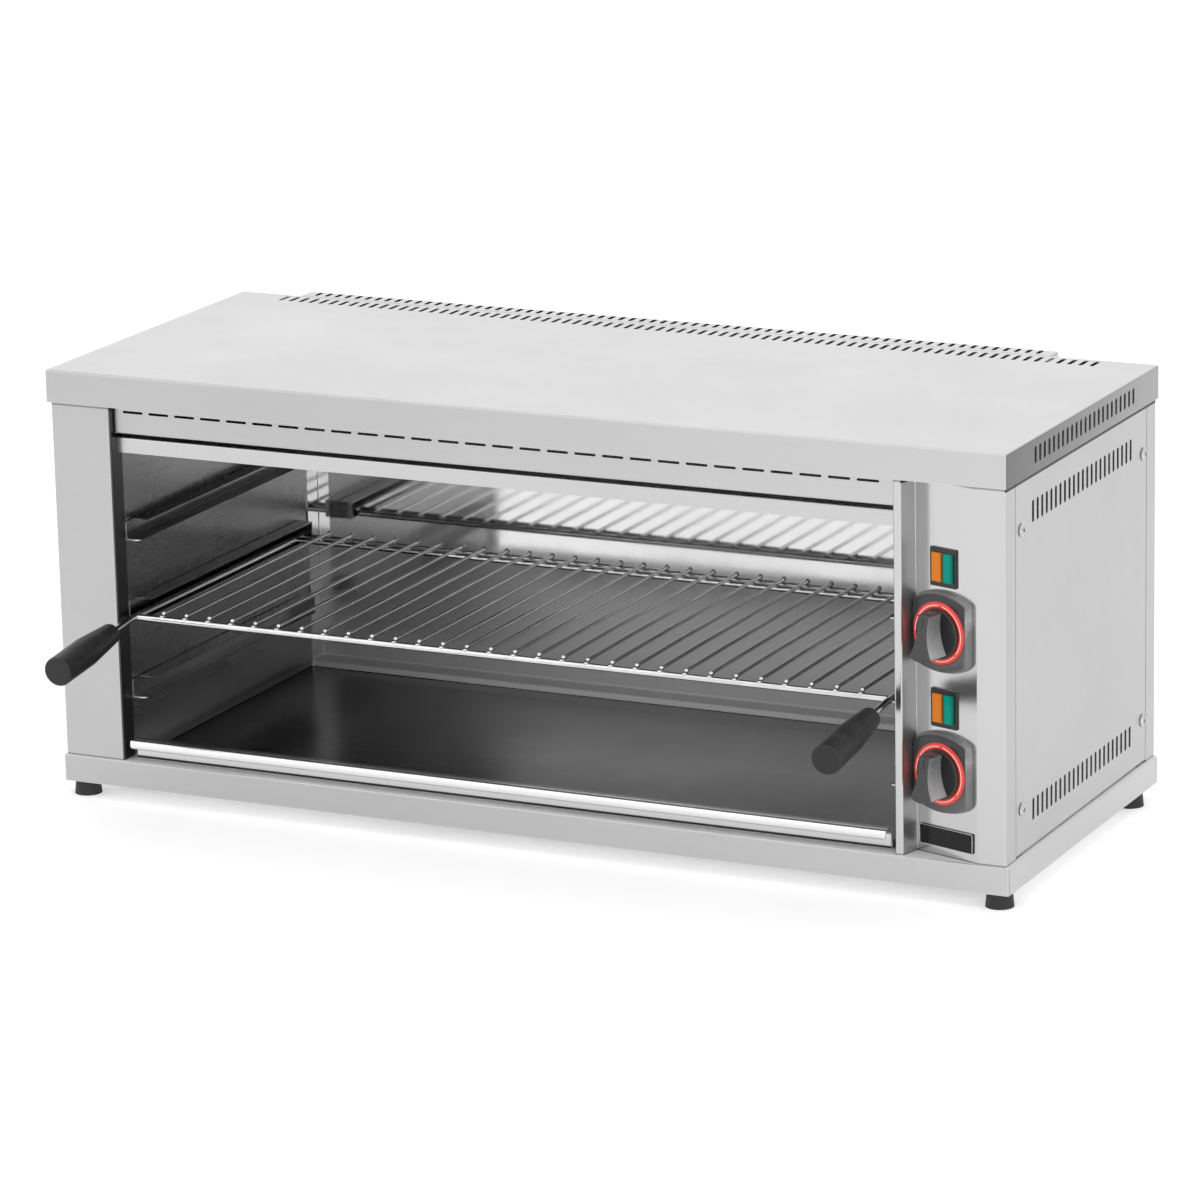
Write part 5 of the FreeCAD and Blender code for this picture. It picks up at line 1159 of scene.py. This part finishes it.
class GRILL_OT_rack(bpy.types.Operator):
    """Builds the rack's wires with their welds and finishes its bars and grips"""
    bl_idname = "grill.rack"
    bl_label = "Rack"

    def execute(self, context):
        details = context.scene.grill_details
        dress("wire", "rack_front_bar", "rack_rear_bars",
              *["rack_side_bar_" + hand for hand in HANDS])
        dress("grip", *["rack_grip_" + hand for hand in HANDS])
        low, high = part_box("rack_wires")
        radius = (high.z - low.z) / 2.0
        width = high.x - low.x - radius * 2.0
        wires = grown("rack_wire_set", wire_tree(), "wire", {
            "Count": WIRE_COUNT, "Sides": details.wire_sides,
            "Start": Vector((low.x + radius, low.y, low.z + radius)),
            "Pitch": width / (WIRE_COUNT - 1), "Length": high.y - low.y, "Radius": radius,
            "Knob": details.wire_knob})
        new_piece("rack_wire_set", wires, "rack", "rack_wire", "rack_wires")
        front_low, front_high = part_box("rack_front_bar")
        rear_low, rear_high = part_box("rack_rear_bars")
        bar = (front_high.y - front_low.y) / 2.0
        rows = {"front": (front_low.y + bar, front_low.y + bar),
                "rear": (rear_low.y + bar, rear_high.y - bar)}
        for label, (near, far) in rows.items():
            beads = grown("rack_welds_" + label, weld_tree(), "wire", {
                "Columns": WIRE_COUNT, "Rows": 1 if near == far else 2, "Width": width,
                "Depth": far - near, "Radius": bar * 0.9,
                "Middle": Vector(((low.x + high.x) / 2.0, (near + far) / 2.0, low.z))})
            new_piece("rack_welds_" + label, beads, "rack", "rack_wire")
        return {"FINISHED"}


class GRILL_OT_screws(bpy.types.Operator):
    """Builds the domed screws of the sides and the rear duct"""
    bl_idname = "grill.screws"
    bl_label = "Screws"

    def execute(self, context):
        screw = screw_shape("domed_screw", context.scene.grill_details.screw_cross)
        tree = screw_tree()
        stand = SCREW_RIM + SCREW_DOME
        quarter = math.pi / 2.0

        def place_screws(name, node, width, height, rows, facing, toward):
            """Screws whose heads stand on the face of a node's box that they look out of."""
            low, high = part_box(node)
            size = high - low
            middle = (low + high) / 2.0 + toward * (abs(size.dot(toward)) / 2.0 - stand)
            head = SCREW_HEAD * 2.0
            mesh = grown(name, tree, "screw", {
                "Screw": screw, "Columns": 2, "Rows": rows, "Width": size[width] - head,
                "Height": size[height] - head, "Facing": facing, "Middle": middle})
            new_piece(name, mesh, "cabinet", "screw_steel", node)

        for hand, sign in zip(HANDS, (-1.0, 1.0)):
            place_screws("side_screw_set_" + hand, "side_screws_" + hand, 2, 1, 2,
                         (0.0, quarter * sign, 0.0), Vector((sign, 0.0, 0.0)))
        place_screws("cowl_screw_set", "cowl_screws", 0, 2, 3, (-quarter, 0.0, 0.0),
                     Vector((0.0, 1.0, 0.0)))
        bpy.data.objects.remove(screw)
        dress("screw", "foot_screws", "shaft_upper", "shaft_lower")
        return {"FINISHED"}


def bezel_outline(side, apex):
    """Reach of the bezel at an angle from the top: upright sides and a bowed top and bottom."""
    bow = 60.0 * MM
    drop = bow - apex

    def reach(angle):
        across, upward = abs(math.sin(angle)), abs(math.cos(angle))
        to_bow = math.sqrt((drop * upward) ** 2 + bow ** 2 - drop ** 2) - drop * upward
        if across < 0.01:
            return to_bow
        return (to_bow ** -26 + (side / across) ** -26) ** (-1.0 / 26)

    return reach


# Each level of a bezel: its height over the panel, half its width and half its height, in mm.
BEZEL_LEVELS = ((0.0, 30.6, 37.4), (0.5, 30.75, 37.5), (3.6, 30.5, 36.6), (6.4, 29.9, 35.6),
                (7.7, 28.9, 34.4), (8.0, 28.75, 33.4))
BEZEL_FACE = 8.0 * MM
SHAFT_HOLE = 5.4 * MM
RING_INNER = 21.5 * MM
RING_OUTER = 28.4 * MM
RING_SINK = 0.3 * MM
# The painted highlight arcs on a ring, in degrees from its top toward the right.
RING_HIGHLIGHT_ARCS = (("start", -92.0, 1.0), ("middle", 10.0, 128.0), ("end", 136.0, 186.0))


class GRILL_OT_dials(bpy.types.Operator):
    """Builds the rings with a painted glow and their painted highlight arcs and finishes knobs and
    bezels
    """
    bl_idname = "grill.dials"
    bl_label = "Dials"

    def execute(self, context):
        crest = context.scene.grill_details.ring_crest
        arcs = arc_tree()
        sunk, rise = BEZEL_FACE - RING_SINK, 0.45 * MM
        middle = (RING_INNER + RING_OUTER) / 2.0 + 0.2 * MM
        half = (RING_OUTER - RING_INNER) / 2.0 - 0.8 * MM
        bezel_profile = [(bezel_outline(side * MM, apex * MM), height * MM)
                         for height, side, apex in BEZEL_LEVELS]
        bezel_profile += [(RING_OUTER + 0.3 * MM, BEZEL_FACE), (RING_OUTER + 0.1 * MM, sunk),
                          (RING_INNER, sunk), (SHAFT_HOLE, sunk), (SHAFT_HOLE, 0.0)]
        ring_profile = [(RING_INNER, sunk), (RING_INNER, BEZEL_FACE + rise)]
        for step in range(9):
            angle = math.pi * (1.0 - step / 8.0)
            ring_profile.append((middle + half * math.cos(angle),
                                 BEZEL_FACE + rise + (crest - rise) * math.sin(angle)))
        ring_profile += [(RING_OUTER, BEZEL_FACE + 0.35 * MM), (RING_OUTER, sunk)]
        for tier in TIERS:
            dress("knob", "knob_" + tier)
            dress("grip", "regulator_" + tier)
            place = panel_frame(tier)
            bezel = turned("bezel_set_" + tier, bezel_profile, 144, "bezel")
            bezel.transform(place)
            new_piece("bezel_set_" + tier, bezel, "cabinet", "bezel_plastic", "bezel_" + tier)
            ring = turned("dial_ring_set_" + tier, ring_profile, 96, "ring", "Span")
            ring.transform(place)
            new_piece("dial_ring_set_" + tier, ring, "cabinet", "red_ring", "dial_ring_" + tier)
            on_ring = place @ Matrix.Translation((0.0, 0.0, BEZEL_FACE + crest - 0.15 * MM))
            for label, first, last in RING_HIGHLIGHT_ARCS:
                line = grown("scale_%s_%s" % (label, tier), arcs, "ring_highlight", {
                    "Radius": middle, "From": math.radians(90.0 - last),
                    "Sweep": math.radians(last - first), "Thickness": 0.36 * MM})
                line.transform(on_ring)
                new_piece("scale_%s_%s" % (label, tier), line, "cabinet", "red_ring")
        return {"FINISHED"}


class GRILL_OT_pilot_lights(bpy.types.Operator):
    """Finishes the pilot lights and builds the ribs on their lenses"""
    bl_idname = "grill.pilot_lights"
    bl_label = "Pilot lights"

    def execute(self, context):
        count = context.scene.grill_details.lens_ribs
        tree = rib_tree()
        for tier in TIERS:
            dress("frame", "pilot_frame_" + tier)
            turn = panel_frame(tier).to_3x3()
            along, out = turn.col[0], turn.col[2]
            for colour in ("amber", "green"):
                node = "%s_lens_%s" % (colour, tier)
                dress(colour, node)
                low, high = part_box(node)
                # The lens is a block in the panel's frame, so its width follows from its box.
                wide, deep = high.x - low.x, high.y - low.y
                a, b = abs(along.x), abs(along.y)
                width = (wide * a - deep * b) / (a * a - b * b)
                edge = 1.0 * MM
                step = (width - edge * 2.0) / count
                corner = Vector((low.x, low.y + b * width, (low.z + high.z) / 2.0))
                start = corner + along * (edge + step / 2.0)
                ribs = grown("%s_ribs_%s" % (colour, tier), tree, colour, {
                    "Count": count, "Start": start - out * (step * 0.36), "Step": along * step,
                    "Length": high.z - low.z - 3.0 * MM, "Radius": step * 0.5})
                new_piece("%s_ribs_%s" % (colour, tier), ribs, "cabinet", colour + "_lens")
        return {"FINISHED"}


BADGE_WIDTH = 60.0 * MM
BADGE_THICKNESS = 1.6 * MM


class GRILL_OT_badge(bpy.types.Operator):
    """Finishes the blank badge and builds its bright rim"""
    bl_idname = "grill.badge"
    bl_label = "Badge"

    def execute(self, context):
        dress("badge", "badge_plate")
        low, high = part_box("badge_plate")
        inset = 0.9 * MM
        trim = grown("badge_trim", trim_tree(), "screw", {
            "Width": BADGE_WIDTH - inset, "Height": high.z - low.z - inset, "Corner": 1.1 * MM,
            "Thickness": 0.42 * MM})
        place = panel_frame("lower")
        place.translation = (low + high) / 2.0 + place.to_3x3().col[2] * (BADGE_THICKNESS / 2.0)
        trim.transform(place)
        new_piece("badge_trim", trim, "cabinet", "badge_black")
        return {"FINISHED"}


class GRILL_OT_underside(bpy.types.Operator):
    """Finishes the feet and the cable gland"""
    bl_idname = "grill.underside"
    bl_label = "Feet and gland"

    def execute(self, context):
        dress("rubber", *["foot_%s_%s" % (end, hand) for end in ("front", "rear")
                          for hand in HANDS])
        dress("grip", "cable_gland")
        return {"FINISHED"}


def shown_rays(w):
    """One where a ray comes from the camera or is a reflection or a view through glass."""
    rays = w.node("ShaderNodeLightPath").outputs
    return w.most(rays["Is Camera Ray"],
                  w.most(rays["Is Glossy Ray"], rays["Is Transmission Ray"]))


def floor_finish(glow_strength):
    """Pale floor, shown white where no shadow falls."""
    material = bpy.data.materials.new("Pale floor")
    material.use_nodes = True
    w = Wiring(material.node_tree)
    w.tree.nodes.remove(w.tree.nodes["Principled BSDF"])
    place = w.node("ShaderNodeTexCoord").outputs["Object"]
    matt = w.node("ShaderNodeBsdfDiffuse", w.mix(w.noise(place, 2.0), grey(0.80), grey(0.82)))
    glow = w.node("ShaderNodeEmission", named={"Strength": w.times(shown_rays(w), glow_strength)})
    both = w.node("ShaderNodeAddShader", matt.outputs[0], glow.outputs[0])
    w.feed(w.tree.nodes["Material Output"].inputs["Surface"], both.outputs[0])
    return material


LAMPS = {
    # name: place, aim, width, height, power
    "overhead": ((0.0, -0.4, 3.4), (0.0, 0.0, 0.0), 4.0, 3.0, 20.0),
    "front_left": ((-2.4, -3.2, 2.2), (0.0, 0.0, 0.2), 1.6, 1.6, 10.0),
    "right": ((3.4, -1.2, 2.0), (0.3, 0.0, 0.2), 1.6, 1.6, 19.0),
    "rear": ((-2.0, 5.0, 2.2), (0.2, 0.0, 0.2), 9.0, 3.6, 41.0),
}


class GRILL_OT_stage(bpy.types.Operator):
    """Sets the floor, the even light and the camera"""
    bl_idname = "grill.stage"
    bl_label = "Stage"

    def execute(self, context):
        scene = context.scene
        stage = scene.grill_stage
        shape = bmesh.new()
        bmesh.ops.create_grid(shape, x_segments=1, y_segments=1, size=stage.floor_size / 2.0)
        floor = new_object("floor", new_mesh("floor", shape))
        floor.data.materials.append(floor_finish(stage.glow))

        world = bpy.data.worlds.new("Even light")
        scene.world = world
        world.use_nodes = True
        w = Wiring(world.node_tree)
        background = world.node_tree.nodes["Background"]
        background.inputs["Color"].default_value = grey(1.0)
        w.feed(background.inputs["Strength"], w.remap(shown_rays(w), 0.0, 1.0, stage.sky, 1.0))

        for name, (place, aim, width, height, power) in LAMPS.items():
            light = bpy.data.lights.new(name, "AREA")
            light.shape = "RECTANGLE"
            light.size, light.size_y = width, height
            light.energy = power
            lamp = new_object(name, light)
            lamp.location = place
            lamp.rotation_euler = (Vector(aim) - Vector(place)).to_track_quat("-Z", "Y").to_euler()

        data = bpy.data.cameras.new("camera")
        data.sensor_width = 36.0
        data.lens = stage.lens
        data.clip_end = 200.0
        camera = new_object("camera", data)
        level = Vector((math.cos(stage.azimuth), math.sin(stage.azimuth), 0.0))
        ahead = Vector((-math.sin(stage.azimuth) * math.cos(stage.elevation),
                        math.cos(stage.azimuth) * math.cos(stage.elevation),
                        -math.sin(stage.elevation)))
        upward = level.cross(ahead)
        right = level * math.cos(stage.roll) + upward * math.sin(stage.roll)
        turn = Matrix((right, right.cross(ahead), -ahead)).transposed().to_4x4()
        camera.matrix_world = Matrix.Translation(Vector(stage.eye)) @ turn
        scene.camera = camera
        scene.view_settings.view_transform = "Standard"
        return {"FINISHED"}


OPERATORS = (GRILL_OT_stage, GRILL_OT_cabinet, GRILL_OT_chamber, GRILL_OT_rack, GRILL_OT_screws,
             GRILL_OT_dials, GRILL_OT_pilot_lights, GRILL_OT_badge, GRILL_OT_underside)


class GRILL_PT_pieces(bpy.types.Panel):
    """Lists the grill's pieces and their values"""
    bl_idname = "GRILL_PT_pieces"
    bl_label = "Salamander grill"
    bl_space_type = "VIEW_3D"
    bl_region_type = "UI"
    bl_category = "Grill"

    def draw(self, context):
        for operator in OPERATORS:
            self.layout.operator(operator.bl_idname, text=operator.bl_label)
        for group in (context.scene.grill_colours, context.scene.grill_details,
                      context.scene.grill_stage):
            box = self.layout.box()
            for name in group.__annotations__:
                box.prop(group, name)


GROUPS = {"grill_colours": GrillColours, "grill_details": GrillDetails, "grill_stage": GrillStage}


def register():
    for item in (*GROUPS.values(), *OPERATORS, GRILL_PT_pieces):
        bpy.utils.register_class(item)
    for name, group in GROUPS.items():
        setattr(bpy.types.Scene, name, PointerProperty(type=group))


def unregister():
    for name in GROUPS:
        delattr(bpy.types.Scene, name)
    for item in (GRILL_PT_pieces, *reversed(OPERATORS), *reversed(list(GROUPS.values()))):
        bpy.utils.unregister_class(item)


def main():
    register()
    bpy.ops.grill.stage()
    bpy.ops.grill.cabinet()
    bpy.ops.grill.chamber()
    bpy.ops.grill.rack()
    bpy.ops.grill.screws()
    bpy.ops.grill.dials()
    bpy.ops.grill.pilot_lights()
    bpy.ops.grill.badge()
    bpy.ops.grill.underside()


if __name__ == "__main__":
    main()
